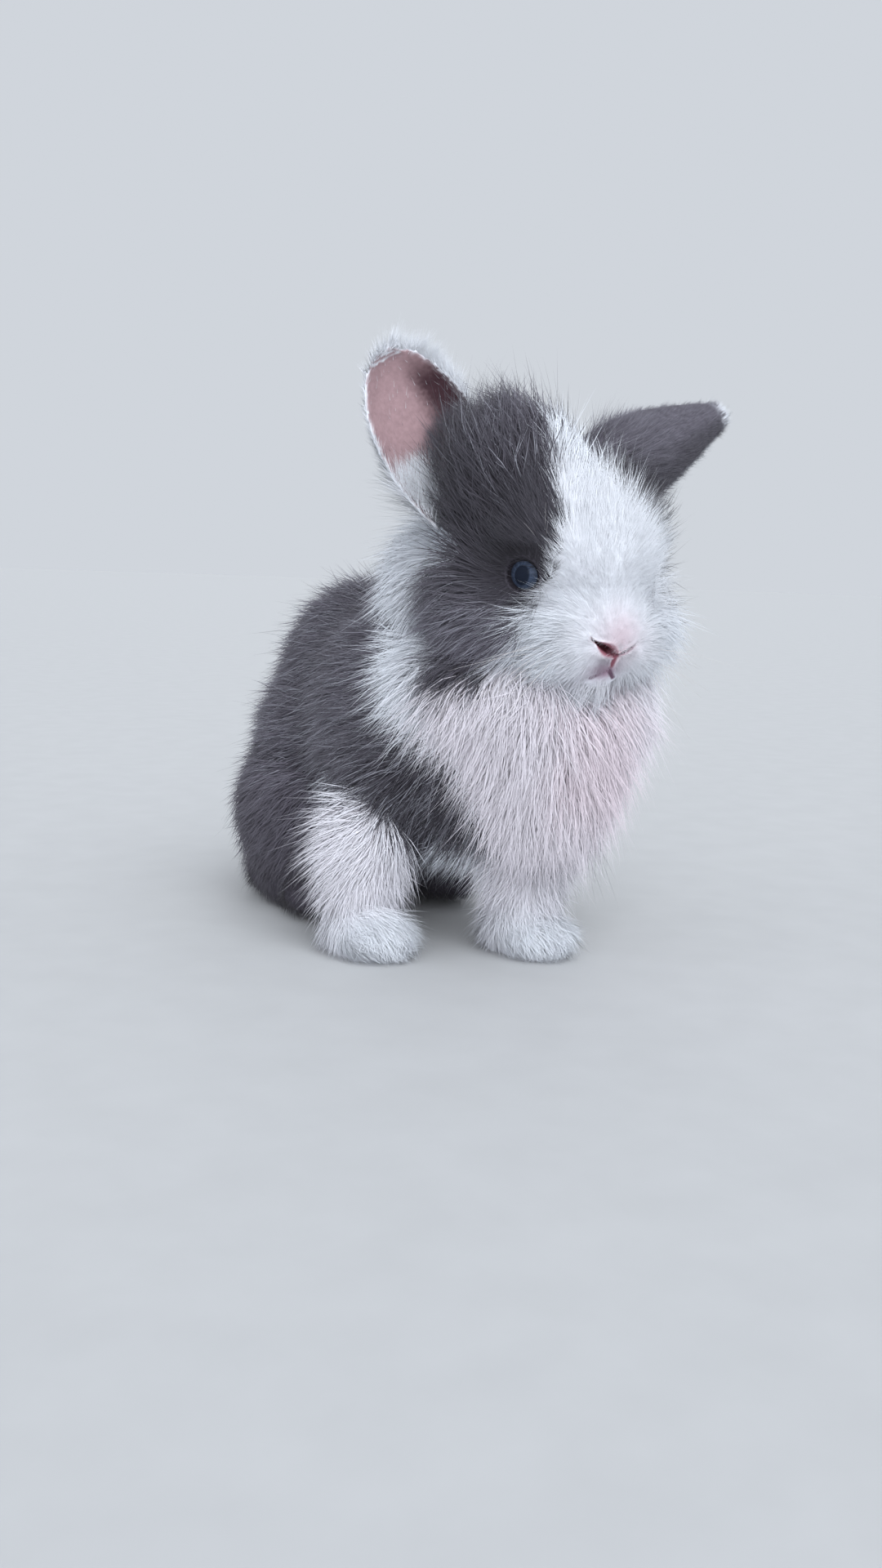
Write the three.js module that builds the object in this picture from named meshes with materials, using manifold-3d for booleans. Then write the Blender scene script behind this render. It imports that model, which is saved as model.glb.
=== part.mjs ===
// A young lionhead rabbit sitting up on straight forelegs, life size, in millimetres.
// +Z is up, the rabbit faces -Y, its left side is +X and its feet rest on z = 0.
import * as THREE from "three";
import { mergeVertices } from "three/addons/utils/BufferGeometryUtils.js";
import Module from "manifold-3d";

const wasm = await Module();
wasm.setup();

// Driving sizes of the whole animal.
const GAP = 0.3; // clearance between touching nodes
const HEAD_PLACE = new THREE.Vector3(14, -17, 110);
const HEAD_TURN = THREE.MathUtils.degToRad(-7); // about +Z, towards the rabbit's right
const HEAD_NOD = THREE.MathUtils.degToRad(16); // nose down
const EYE_RADIUS = 6.8;
const LID_THICKNESS = 1.3;
const EAR_HALF_WIDTH = 13;
const EAR_THICKNESS = 2.4;
const SOLE_HEIGHT = 0; // level of the flats that the feet rest on
const LOCK_ROOT = 3.5; // depth of each lock's root in the core
const TORSO_COAT = 6; // locks' share of the coat's depth
const MANE_COAT = 9;
const THIGH_COAT = 3.5;
const TAIL_COAT = 4;
const LEG_COAT = 2.5;
const LEG_LOCKS = 16;
const ELBOW_LOCKS = 7; // how many of them stand out behind the elbow
const ELBOW_FLARE = 10; // how far the feathering stands out behind an elbow
const LOWEST_TIP = 3; // height above the floor that a foreleg's locks keep
const COAT_CLEAR = 2.4; // room left round a coat's outline for the ends of its locks
const FINEST = 0.25; // detail smaller than this is left out
const LOCK_FINEST = 0.5; // the same, among locks

const v3 = (x, y, z) => new THREE.Vector3(x, y, z);

const headFrame = new THREE.Matrix4()
  .makeRotationFromEuler(new THREE.Euler(HEAD_NOD, 0, HEAD_TURN, "ZYX"))
  .setPosition(HEAD_PLACE);

// Closed surfaces

// A geometry as a solid, turned so that its faces point out.
function solidOf(geometry) {
  for (const name of Object.keys(geometry.attributes)) {
    if (name !== "position") geometry.deleteAttribute(name);
  }
  const merged = mergeVertices(geometry, 1e-3);
  const triVerts = new Uint32Array(merged.index.array);
  const vertProperties = merged.attributes.position.array;
  const solid = new wasm.Manifold(new wasm.Mesh({ numProp: 3, vertProperties, triVerts }));
  if (solid.volume() > 0) return solid;
  for (let i = 0; i < triVerts.length; i += 3) {
    [triVerts[i + 1], triVerts[i + 2]] = [triVerts[i + 2], triVerts[i + 1]];
  }
  return new wasm.Manifold(new wasm.Mesh({ numProp: 3, vertProperties, triVerts }));
}

const join = (solids) => wasm.Manifold.union(solids);

// Keeps the largest closed surface, so that no loose scrap or sealed hollow stays.
function largest(solid) {
  const bodies = solid.decompose();
  return bodies.reduce((a, b) => (b.volume() > a.volume() ? b : a));
}

// A closed skin over a list of rings with equal numbers of points, with a fan at each end.
function loft(rings) {
  const sides = rings[0].length;
  const points = rings.flat();
  const faces = [];
  for (let r = 0; r + 1 < rings.length; r += 1) {
    for (let s = 0; s < sides; s += 1) {
      const a = r * sides + s;
      const b = r * sides + ((s + 1) % sides);
      faces.push(a, b, b + sides, a, b + sides, a + sides);
    }
  }
  const cap = (start, flip) => {
    const centre = v3(0, 0, 0);
    for (let s = 0; s < sides; s += 1) centre.addScaledVector(points[start + s], 1 / sides);
    points.push(centre);
    for (let s = 0; s < sides; s += 1) {
      const a = start + s;
      const b = start + ((s + 1) % sides);
      faces.push(...(flip ? [b, a, points.length - 1] : [a, b, points.length - 1]));
    }
  };
  cap(0, true);
  cap((rings.length - 1) * sides, false);
  const geometry = new THREE.BufferGeometry().setFromPoints(points);
  geometry.setIndex(faces);
  return solidOf(geometry);
}

// Rounded forms

const lump = (x, y, z, rx, ry, rz) => ({ centre: v3(x, y, z), radii: v3(rx, ry, rz) });

// About how far a point is outside an ellipsoid.
function lumpDistance({ centre, radii }, p) {
  const q = p.clone().sub(centre).divide(radii);
  const outer = q.length();
  const inner = q.divide(radii).length();
  return inner < 1e-9 ? -Math.min(radii.x, radii.y, radii.z) : (outer * (outer - 1)) / inner;
}

// A smooth form made of blended ellipsoids, seen from an inner centre that sees all of it.
class Form {
  constructor(centre, lumps, blend, frame = new THREE.Matrix4()) {
    Object.assign(this, { centre, lumps, blend, frame });
  }

  distance(p) {
    let d = Infinity;
    for (const one of this.lumps) {
      const e = lumpDistance(one, p);
      const h = Math.max(this.blend - Math.abs(d - e), 0) / this.blend;
      d = Math.min(d, e) - (Number.isFinite(h) ? h * h * this.blend * 0.25 : 0);
    }
    return d;
  }

  // The surface point in a direction from the centre, moved out by grow.
  point(direction, grow = 0) {
    let near = 0;
    let far = 160;
    for (let step = 0; step < 22; step += 1) {
      const middle = (near + far) / 2;
      const p = this.centre.clone().addScaledVector(direction, middle);
      if (this.distance(p) < grow) near = middle;
      else far = middle;
    }
    return this.centre.clone().addScaledVector(direction, near);
  }

  body(detail, grow = 0) {
    const geometry = new THREE.IcosahedronGeometry(1, detail);
    const place = geometry.attributes.position;
    const direction = v3(0, 0, 0);
    for (let i = 0; i < place.count; i += 1) {
      direction.fromBufferAttribute(place, i).normalize();
      const p = this.point(direction, grow).applyMatrix4(this.frame);
      place.setXYZ(i, p.x, p.y, p.z);
    }
    return solidOf(geometry);
  }
}

// A round limb along a curve: stations hold a point and two radii, across and along the body.
function limb(stations, sides, grow = 0) {
  const curve = new THREE.CatmullRomCurve3(stations.map((s) => s.at));
  const steps = (stations.length - 1) * 3;
  const rings = [];
  for (let i = 0; i <= steps; i += 1) {
    const u = i / steps;
    const along = u * (stations.length - 1);
    const k = Math.min(Math.floor(along), stations.length - 2);
    const f = THREE.MathUtils.smoothstep(along - k, 0, 1);
    const across = THREE.MathUtils.lerp(stations[k].across, stations[k + 1].across, f) + grow;
    const depth = THREE.MathUtils.lerp(stations[k].depth, stations[k + 1].depth, f) + grow;
    const at = curve.getPoint(u);
    const tangent = curve.getTangent(u);
    const side = v3(1, 0, 0).addScaledVector(tangent, -tangent.x).normalize();
    const front = tangent.clone().cross(side).normalize();
    rings.push(
      Array.from({ length: sides }, (_, s) => {
        const angle = (s / sides) * 2 * Math.PI;
        return at
          .clone()
          .addScaledVector(side, Math.cos(angle) * across)
          .addScaledVector(front, Math.sin(angle) * depth);
      }),
    );
  }
  return loft(rings);
}

// A flat box used to cut the soles level.
function belowFloor() {
  const geometry = new THREE.BoxGeometry(400, 400, 60);
  geometry.translate(0, 0, SOLE_HEIGHT - 30);
  return solidOf(geometry);
}

// Coat

// A repeatable stream of numbers from 0 to 1.
let seed = 4386;
function random() {
  seed = (seed * 1664525 + 1013904223) % 4294967296;
  return seed / 4294967296;
}
const vary = (spread) => 1 + spread * (2 * random() - 1);

// Width and thickness of a lock along its length, as shares of its full size.
const LONG_LOCK = [
  { u: 0, wide: 0.7, thick: 0.8 },
  { u: 0.4, wide: 1, thick: 1 },
  { u: 0.75, wide: 0.62, thick: 0.6 },
];
const SHORT_LOCK = [
  { u: 0, wide: 0.7, thick: 0.8 },
  { u: 0.5, wide: 1, thick: 1 },
];

// A flat, tapered lock with a low ridge that bends from its root over middle to its tip.
function lock(profile, root, middle, tip, outward, width, thickness) {
  const path = new THREE.QuadraticBezierCurve3(root, middle, tip);
  const points = [];
  for (const { u, wide, thick } of profile) {
    const at = path.getPoint(u);
    const tangent = path.getTangent(u);
    const side = tangent.clone().cross(outward).normalize();
    const up = side.clone().cross(tangent).normalize();
    points.push(at.clone().addScaledVector(side, (wide * width) / 2));
    points.push(at.clone().addScaledVector(up, thick * thickness));
    points.push(at.clone().addScaledVector(side, (-wide * width) / 2));
  }
  points.push(tip);
  const faces = [0, 1, 2];
  for (let ring = 0; ring < profile.length; ring += 1) {
    const last = ring === profile.length - 1;
    for (let s = 0; s < 3; s += 1) {
      const a = ring * 3 + s;
      const b = ring * 3 + ((s + 1) % 3);
      if (last) faces.push(b, a, points.length - 1);
      else faces.push(b, a, a + 3, b, a + 3, b + 3);
    }
  }
  const geometry = new THREE.BufferGeometry().setFromPoints(points);
  geometry.setIndex(faces);
  return solidOf(geometry);
}

// Locks over a form: each is rooted in the core and ends in the coat's outline.
function coatLocks({ core, tips, count, profile, reach, width, thickness, fullness, lie, where }) {
  const locks = [];
  const turn = Math.PI * (3 - Math.sqrt(5));
  for (let i = 0; i < count; i += 1) {
    const z = 1 - (2 * i + 1) / count;
    const flat = Math.sqrt(1 - z * z);
    const angle = i * turn + random() * 0.25;
    const aim = v3(Math.cos(angle) * flat, Math.sin(angle) * flat, z);
    const foot = core.point(aim);
    const along = lie(foot);
    along.addScaledVector(aim, -along.dot(aim)).normalize();
    along.applyAxisAngle(aim, 0.35 * (2 * random() - 1));
    const run = (reach * vary(0.2)) / foot.distanceTo(core.centre);
    const towards = (share) =>
      aim.clone().multiplyScalar(Math.cos(run * share)).addScaledVector(along, Math.sin(run * share));
    const tip = tips.point(towards(1), 1.2 * (random() - 0.35));
    if (!where(foot, tip)) continue;
    const root = core.point(aim, -LOCK_ROOT);
    const middle = tips.point(towards(0.45)).lerp(core.point(towards(0.45)), 1 - fullness);
    const [a, b, c] = [root, middle, tip].map((p) => p.applyMatrix4(core.frame));
    const outward = aim.transformDirection(core.frame);
    locks.push(lock(profile, a, b, c, outward, width * vary(0.25), thickness * vary(0.15)));
  }
  return join(locks).simplify(LOCK_FINEST);
}

// The forms of the coat's outline.
const torsoForm = new Form(
  v3(2, 40, 58),
  [
    lump(2, 62, 62, 29, 38, 46), // back
    lump(0, 68, 42, 37, 34, 40), // hips
    lump(2, 30, 60, 34, 38, 45), // barrel
    lump(3, 4, 58, 31, 26, 36), // chest
    lump(21, 7, 50, 17, 20, 23), // left shoulder
    lump(-18, 15, 50, 17, 20, 23), // right shoulder
  ],
  8,
);

const neckForm = new Form(
  v3(10, 4, 86),
  [
    lump(13, -1, 75, 42, 35, 28), // collar
    lump(8, 19, 103, 34, 28, 33), // nape
    lump(31, -20, 84, 20, 17, 26), // ruff below the left cheek
    lump(12, -17, 60, 28, 22, 34), // bib
  ],
  12,
);

const headForm = new Form(
  v3(0, 0, 2),
  [
    lump(0, 2, 6, 29, 29, 27), // cranium
    lump(-7, 9, 21, 25, 23, 24), // crown
    lump(20, 5, 6, 19, 26, 27), // left temple
    lump(-17, 5, 6, 18, 26, 27), // right temple
    lump(23, -2, -13, 18, 23, 19), // left cheek
    lump(-19, 2, -12, 18, 22, 18), // right cheek
    lump(0, -14, 5, 15, 15, 17), // bridge of the nose
    lump(1, -22, -11, 17, 14.5, 14), // muzzle
  ],
  7,
  headFrame,
);

// The head below its locks, with the short coat of the face.
const headCoreForm = new Form(
  v3(0, 0, 2),
  [
    lump(0, 3, 6, 27, 27, 24), // cranium
    lump(-5, 9, 20, 21, 20, 21), // crown
    lump(18, -1, -10, 15, 20, 16), // left cheek
    lump(-17, 1, -10, 15, 19, 16), // right cheek
    lump(11, -9, 3, 12, 14, 14), // left brow
    lump(-11, -9, 3, 12, 14, 14), // right brow
    lump(0, -14, 5, 13, 15, 15), // bridge of the nose
    lump(1, -21, -10, 15, 14, 13), // muzzle
    lump(8, -25, -13, 8.5, 9.5, 8.5), // left whisker pad
    lump(-6, -25, -13, 8.5, 9.5, 8.5), // right whisker pad
  ],
  5,
  headFrame,
);

const tailForm = new Form(v3(0, 103, 32), [lump(0, 103, 32, 12, 11, 17)], 2);

const thighForm = (side) =>
  new Form(v3(side * 22, 68, 31), [lump(side * 22, 68, 31, 18, 29, 28)], 2);

const hindFootForm = (side) =>
  new Form(
    v3(side * 24, 66, 7),
    [
      lump(side * 23, 82, 9, 8.5, 12, 10), // heel
      lump(side * 24, 66, 7, 9, 17, 9), // sole
      lump(side * 25.5, 49, 7, 10.5, 13, 8), // toes
    ],
    4,
  );

const PAWS = {
  left: v3(11, -11, 0),
  right: v3(-31, 9, 0),
};

const pawForm = ({ x, y }) =>
  new Form(v3(x, y - 3, 7), [lump(x, y, 7, 12, 13, 12), lump(x, y - 8, 6, 12, 11, 8)], 4);

const FORELEGS = {
  left: [
    { at: v3(17, 10, 50), across: 11, depth: 12 },
    { at: v3(16, 0, 36), across: 12.5, depth: 13 },
    { at: v3(13, -9, 20), across: 11.5, depth: 11.5 },
    { at: v3(11, -9, 8), across: 10.5, depth: 10.5 },
  ],
  right: [
    { at: v3(-13, 18, 50), across: 11, depth: 12 },
    { at: v3(-24, 15, 36), across: 12.5, depth: 13 },
    { at: v3(-30, 12, 20), across: 11.5, depth: 11.5 },
    { at: v3(-31, 11, 8), across: 10.5, depth: 10.5 },
  ],
};

// Eyes, in the head's own frame.
const eyePlace = (side) => v3(side * 15.5, -13, 2.5);
const eyeAim = (side) => v3(side * 0.9, -0.43, 0.05).normalize();

function eyeball(side, grow = 0) {
  const geometry = new THREE.SphereGeometry(EYE_RADIUS + grow, 12, 9);
  const at = eyePlace(side);
  geometry.translate(at.x, at.y, at.z);
  return solidOf(geometry.applyMatrix4(headFrame));
}

// An ellipsoid turned so that its first axis follows `aim`, in the head's frame.
function turnedLump(at, aim, along, across, up, detail = 2) {
  const geometry = new THREE.IcosahedronGeometry(1, detail);
  geometry.scale(along, across, up);
  geometry.applyQuaternion(new THREE.Quaternion().setFromUnitVectors(v3(1, 0, 0), aim));
  geometry.translate(at.x, at.y, at.z);
  return solidOf(geometry.applyMatrix4(headFrame));
}

function eyelids(side) {
  return turnedLump(eyePlace(side), eyeAim(side), ...Array(3).fill(EYE_RADIUS + LID_THICKNESS), 3);
}

function lidOpening(side) {
  const aim = eyeAim(side);
  return turnedLump(eyePlace(side).addScaledVector(aim, EYE_RADIUS + 1), aim, 5, 5.4, 4.4, 3);
}

// An upright ellipsoid in the head's frame.
const ellipsoid = (x, y, z, rx, ry, rz, detail = 2) => {
  const geometry = new THREE.IcosahedronGeometry(1, detail);
  geometry.scale(rx, ry, rz);
  geometry.translate(x, y, z);
  return solidOf(geometry.applyMatrix4(headFrame));
};

// Chin with the lower lip, and the bare pad of the nose.
const muzzleParts = (grow) => [
  ellipsoid(1, -23.5, -22, 6.5 + grow, 6.5 + grow, 4.5 + grow, 1),
  ellipsoid(1, -33, -11.5, 5, 3, 3.2, 2),
];

// Slanting nostrils and the line of the mouth below them.
function nostrilsAndMouth() {
  const slit = (side) => {
    const along = v3(side * 0.8, 0.15, 0.55).normalize();
    return turnedLump(v3(1 + side * 3.2, -35.4, -12.1), along, 3, 1.6, 0.7, 1);
  };
  const cleft = ellipsoid(1, -34.6, -16.6, 0.6, 2.4, 2.8, 1);
  const mouth = ellipsoid(1, -30.5, -20.2, 5, 4.6, 0.6, 1);
  return [slit(1), slit(-1), cleft, mouth];
}

// Ears: a cupped blade lofted along a bowed midrib.
const EARS = {
  left: {
    root: v3(13, 8, 26),
    tip: v3(65, 26, 43),
    bow: v3(0, 0, 1),
    cup: v3(0.05, 0.75, -0.63),
    outline: [0.85, 0.97, 1, 0.95, 0.84, 0.7, 0.54, 0.4, 0.28],
  },
  right: {
    root: v3(-23, 17, 10),
    tip: v3(-47, 31, 51),
    bow: v3(-1, 0, 3),
    cup: v3(-0.15, -0.95, 0.25),
    outline: [0.7, 0.95, 1.1, 1.17, 1.17, 1.1, 0.95, 0.7, 0.36],
  },
};

function ear({ root, tip, bow, cup, outline }, grow = 0) {
  const middle = root.clone().lerp(tip, 0.5).add(bow);
  const rib = new THREE.QuadraticBezierCurve3(root, middle, tip);
  const half = 3; // points from the midrib to a margin
  const rings = outline.map((share, i) => {
    const u = i / (outline.length - 1);
    const at = rib.getPoint(u);
    const tangent = rib.getTangent(u);
    const facing = cup.clone().addScaledVector(tangent, -cup.dot(tangent)).normalize();
    const side = tangent.clone().cross(facing).normalize();
    const width = EAR_HALF_WIDTH * share + grow;
    const curl = THREE.MathUtils.lerp(1.35, 0.75, u); // half the angle that the cup spans
    const layer = (offset) =>
      Array.from({ length: 2 * half + 1 }, (_, j) => {
        const angle = ((j - half) / half) * curl;
        const radius = width / Math.sin(Math.min(curl, Math.PI / 2)) + offset;
        return at
          .clone()
          .addScaledVector(side, Math.sin(angle) * radius)
          .addScaledVector(facing, width * 0.6 - Math.cos(angle) * radius);
      });
    const outer = layer(EAR_THICKNESS / 2 + grow);
    const inner = layer(-EAR_THICKNESS / 2 - grow).reverse();
    return [...outer, ...inner];
  });
  return loft(rings.map((ring) => ring.map((p) => p.applyMatrix4(headFrame))));
}

// Assembly

const floor = belowFloor();
const sides = { left: 1, right: -1 };
const inner = (form, depth) => new Inner(form, depth);

// A form drawn in by the depth of the locks over it.
class Inner extends Form {
  constructor(form, depth) {
    super(form.centre, form.lumps, form.blend, form.frame);
    this.depth = depth;
  }

  distance(p) {
    return super.distance(p) + this.depth;
  }
}

const torsoCore = inner(torsoForm, TORSO_COAT);
const neckCore = inner(neckForm, MANE_COAT);
const tailCore = inner(tailForm, TAIL_COAT);

const headLocks = coatLocks({
  core: headCoreForm,
  tips: headForm,
  count: 94,
  profile: LONG_LOCK,
  reach: 19,
  width: 9,
  thickness: 2,
  fullness: 0.75,
  lie: (p) => v3(Math.sign(p.x) * 0.2, 1, p.z > 10 ? 0.1 : -0.8),
  where: (p) => p.y > -14 && Math.hypot(p.y + 13, p.z - 2.5) > 11,
});
const neckLocks = coatLocks({
  core: neckCore,
  tips: neckForm,
  count: 92,
  profile: LONG_LOCK,
  reach: 22,
  width: 10,
  thickness: 2.2,
  fullness: 0.9,
  lie: (p) => v3((p.x - 12) * 0.012, 0.45, -1),
  where: (p, tip) => tip.z > 20 && tip.y < 52,
});
const torsoLocks = coatLocks({
  core: torsoCore,
  tips: torsoForm,
  count: 90,
  profile: SHORT_LOCK,
  reach: 21,
  width: 12,
  thickness: 2,
  fullness: 0.8,
  lie: () => v3(0, 1, -0.7),
  where: (p, tip) =>
    Math.min(p.z, tip.z + 9) > 14 && neckForm.distance(p) > -6 && neckForm.distance(tip) > 0,
});
const thighLocks = (side) =>
  coatLocks({
    core: inner(thighForm(side), THIGH_COAT),
    tips: thighForm(side),
    count: 28,
    profile: SHORT_LOCK,
    reach: 15,
    width: 9,
    thickness: 2,
    fullness: 0.8,
    lie: () => v3(0, 0.8, -1),
    where: (p, tip) => side * p.x > 26 && tip.z > 4,
  });
const tailLocks = coatLocks({
  core: tailCore,
  tips: tailForm,
  count: 16,
  profile: SHORT_LOCK,
  reach: 10,
  width: 7,
  thickness: 1.8,
  fullness: 0.8,
  lie: () => v3(0, 0.5, 1),
  where: (p) => p.y > 98,
});

// Locks down a foreleg. The first of them stand out behind the elbow, on the outer side.
function legLocks(stations, side) {
  const curve = new THREE.CatmullRomCurve3(stations.map((s) => s.at));
  const radius = stations[1].across - LEG_COAT;
  const locks = [];
  for (let i = 0; i < LEG_LOCKS; i += 1) {
    const share = i / (LEG_LOCKS - 1);
    const atElbow = i < ELBOW_LOCKS;
    const at = curve.getPoint(0.14 + 0.6 * share);
    const angle = atElbow ? Math.atan2(0.57, 0.82 * side) + 0.5 * ((i % 3) - 1) : i * 2.4;
    const out = v3(Math.cos(angle), Math.sin(angle), 0);
    const flare = atElbow ? ELBOW_FLARE * vary(0.15) : 0;
    const root = at.clone().addScaledVector(out, radius - LOCK_ROOT);
    const middle = at.clone().addScaledVector(out, radius + LEG_COAT + 0.4 * flare);
    middle.z -= 6;
    const tip = at.clone().addScaledVector(out, radius + LEG_COAT + flare + vary(0.8));
    tip.z = Math.max(tip.z - (atElbow ? 13 : 17) * vary(0.15), LOWEST_TIP);
    locks.push(lock(SHORT_LOCK, root, middle, tip, out, 8 * vary(0.2), 1.8 * vary(0.15)));
  }
  return join(locks).simplify(LOCK_FINEST);
}

const cut = (solid, ...tools) => tools.reduce((rest, tool) => rest.subtract(tool), solid);
const solids = {};

// The head with its lids, the sockets of its eyes, nose and mouth.
const headClear = headCoreForm.body(6, 2 * GAP).add(join(muzzleParts(GAP)));
const face = headCoreForm.body(7).add(join([eyelids(1), eyelids(-1), ...muzzleParts(0)]));
const headBody = cut(face, ...[1, -1].flatMap((side) => [eyeball(side, GAP), lidOpening(side)]));

for (const [name, side] of Object.entries(sides)) {
  solids[`eye_${name}`] = eyeball(side);
  solids[`ear_${name}`] = ear(EARS[name]).subtract(headClear);
}
const earsClear = join(Object.keys(sides).map((name) => ear(EARS[name], GAP)));

for (const [name, side] of Object.entries(sides)) {
  solids[`forepaw_${name}`] = pawForm(PAWS[name]).body(3).subtract(floor);
  solids[`hindfoot_${name}`] = hindFootForm(side).body(3).subtract(floor);
}
const feetClear = join([
  ...Object.values(PAWS).map((place) => pawForm(place).body(3, GAP)),
  ...Object.values(sides).map((side) => hindFootForm(side).body(3, GAP)),
]);

const torsoClear = torsoCore.body(4, GAP);
const neckClear = neckCore.body(4, GAP).subtract(torsoClear);
const legsClear = join(Object.values(FORELEGS).map((stations) => limb(stations, 12, COAT_CLEAR)));

// Each coat's outline keeps the locks of the next node out of it.
const headCoat = headForm.body(4, COAT_CLEAR);
const neckCoat = neckForm.body(4, COAT_CLEAR);
const rearCoat = join([thighForm(1), thighForm(-1), tailForm].map((f) => f.body(2, COAT_CLEAR)));

solids.head = cut(headBody, ...nostrilsAndMouth())
  .add(cut(headLocks, earsClear, torsoClear, neckClear));

solids.neck_mane = cut(neckCore.body(4), torsoClear, headClear)
  .add(cut(neckLocks, headCoat, earsClear, torsoClear, legsClear));

solids.torso = cut(torsoCore.body(4), feetClear, headClear)
  .add(cut(torsoLocks, feetClear, headCoat, neckCoat, earsClear, legsClear, rearCoat));

for (const [name, side] of Object.entries(sides)) {
  const inset = FORELEGS[name].map(({ at, across, depth }) => ({
    at,
    across: across - LEG_COAT,
    depth: depth - LEG_COAT,
  }));
  solids[`foreleg_${name}`] = limb(inset, 12)
    .add(legLocks(FORELEGS[name], side))
    .subtract(join([feetClear, torsoClear, neckClear]));
  const thigh = inner(thighForm(side), THIGH_COAT).body(3).add(thighLocks(side));
  solids[`thigh_${name}`] = cut(thigh, torsoClear, feetClear, floor);
}
solids.tail = tailCore.body(2).add(tailLocks).subtract(torsoClear);

// Materials

const finish = (color, roughness) =>
  new THREE.MeshStandardMaterial({ color, roughness, metalness: 0 });
const greyCoat = finish(0x5b5b66, 0.95);
const whiteCoat = finish(0xe6eaf0, 0.95);
const earSkin = finish(0xc79f9f, 0.8);
const eyeGlass = finish(0x2c3850, 0.1);

const materialOf = (name) => {
  if (name.startsWith("eye")) return eyeGlass;
  if (name === "ear_right") return earSkin;
  return /torso|thigh|hindfoot|tail|head|ear/.test(name) ? greyCoat : whiteCoat;
};

function meshOf(name, solid) {
  const { vertProperties, triVerts, numProp } = solid.getMesh();
  const points = new Float32Array((vertProperties.length / numProp) * 3);
  for (let i = 0; i * 3 < points.length; i += 1) {
    points.set(vertProperties.subarray(i * numProp, i * numProp + 3), i * 3);
  }
  const geometry = new THREE.BufferGeometry();
  geometry.setAttribute("position", new THREE.BufferAttribute(points, 3));
  geometry.setIndex(new THREE.BufferAttribute(triVerts, 1));
  geometry.computeVertexNormals();
  const mesh = new THREE.Mesh(geometry, materialOf(name));
  mesh.name = name;
  return mesh;
}

// The origin lies on the floor below the middle of the whole animal.
const whole = new THREE.Box3();
for (const [name, solid] of Object.entries(solids)) {
  solids[name] = largest(largest(solid).simplify(FINEST));
  const { min, max } = solids[name].boundingBox();
  whole.expandByPoint(v3(...min)).expandByPoint(v3(...max));
}
const middle = whole.getCenter(v3(0, 0, 0));

const rabbit = new THREE.Group();
for (const [name, solid] of Object.entries(solids)) {
  rabbit.add(meshOf(name, solid.translate([-middle.x, -middle.y, -SOLE_HEIGHT])));
}

export default rabbit;
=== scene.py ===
"""A young lionhead rabbit sitting up on straight forelegs: skin, eyes, coat, light and camera over its solids."""

import math
import bmesh
import bpy
import numpy as np
from bpy.props import FloatProperty, FloatVectorProperty, IntProperty, PointerProperty
from mathutils import Matrix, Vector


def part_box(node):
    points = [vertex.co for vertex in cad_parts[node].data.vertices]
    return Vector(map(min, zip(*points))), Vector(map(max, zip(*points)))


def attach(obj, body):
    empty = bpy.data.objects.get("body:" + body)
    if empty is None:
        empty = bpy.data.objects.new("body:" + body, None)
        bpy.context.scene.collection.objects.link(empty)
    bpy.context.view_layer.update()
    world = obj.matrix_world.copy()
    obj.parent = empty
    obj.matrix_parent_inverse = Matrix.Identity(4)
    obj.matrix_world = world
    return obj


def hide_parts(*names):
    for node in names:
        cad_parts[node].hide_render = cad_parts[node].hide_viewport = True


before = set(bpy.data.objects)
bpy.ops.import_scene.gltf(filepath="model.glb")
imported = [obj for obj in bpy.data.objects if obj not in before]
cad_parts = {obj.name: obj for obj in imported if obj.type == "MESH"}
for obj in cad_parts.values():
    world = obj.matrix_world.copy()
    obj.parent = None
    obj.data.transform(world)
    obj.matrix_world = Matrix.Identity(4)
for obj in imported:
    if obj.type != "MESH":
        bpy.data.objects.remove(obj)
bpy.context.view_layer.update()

bl_info = {
    "name": "Lionhead rabbit kit",
    "version": (1, 0, 0),
    "blender": (4, 5, 0),
    "location": "View3D > Sidebar > Rabbit",
    "description": "Builds the skin, eyes and coat of a young lionhead rabbit over its solids",
    "category": "Mesh",
}

# The animal's own axes are in millimetres: it faces -Y, its left is +X and its feet rest on z = 0. The head
# has axes of its own, nodded and turned about its place. Every length below is in millimetres unless it says
# otherwise.

SEED = 4386
SIDES = ("left", "right")
HEAD_PLACE = np.array([14.0, -17.0, 110.0])
HEAD_NOD = math.radians(16)
HEAD_TURN = math.radians(-7)
HEAD_AXES = np.array(Matrix.Rotation(HEAD_TURN, 3, "Z") @ Matrix.Rotation(HEAD_NOD, 3, "X"))

EYE_PLACE = np.array([15.5, -13.0, 2.5])
EYE_AIM = np.array([0.87, -0.5, 0.05])
EYE_RADIUS = 6.8
EYE_DOME = 0.35  # how far the front of an eye stands out
LID_LIFT = 0.35  # how far the lids' rims stand out
SOCKET_DEPTH = 5.0  # how far from an eye's centre its socket lies, behind the eyeball
LID_OPENING = np.array([4.5, 4.1])  # half width and half height
LID_REACH = 13.0  # no point further than this from an eye's centre belongs to its lids
LASH_REACH = 14.0  # the same for the hair round them
OFF_EYE = 9.0  # span given to such points, where 1 is the lids' rim

EAR_HALF_WIDTH = 13.0
EAR_THICKNESS = 2.4
EAR_INSET = 0.45  # how far an ear's skin lies inside its solid on each face
EAR_DOWN = 0.6  # depth of the down on an ear
EAR_CURL = (1.35, -0.6)  # half the angle of an ear's hollow at its root, and its change up to the tip

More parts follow.
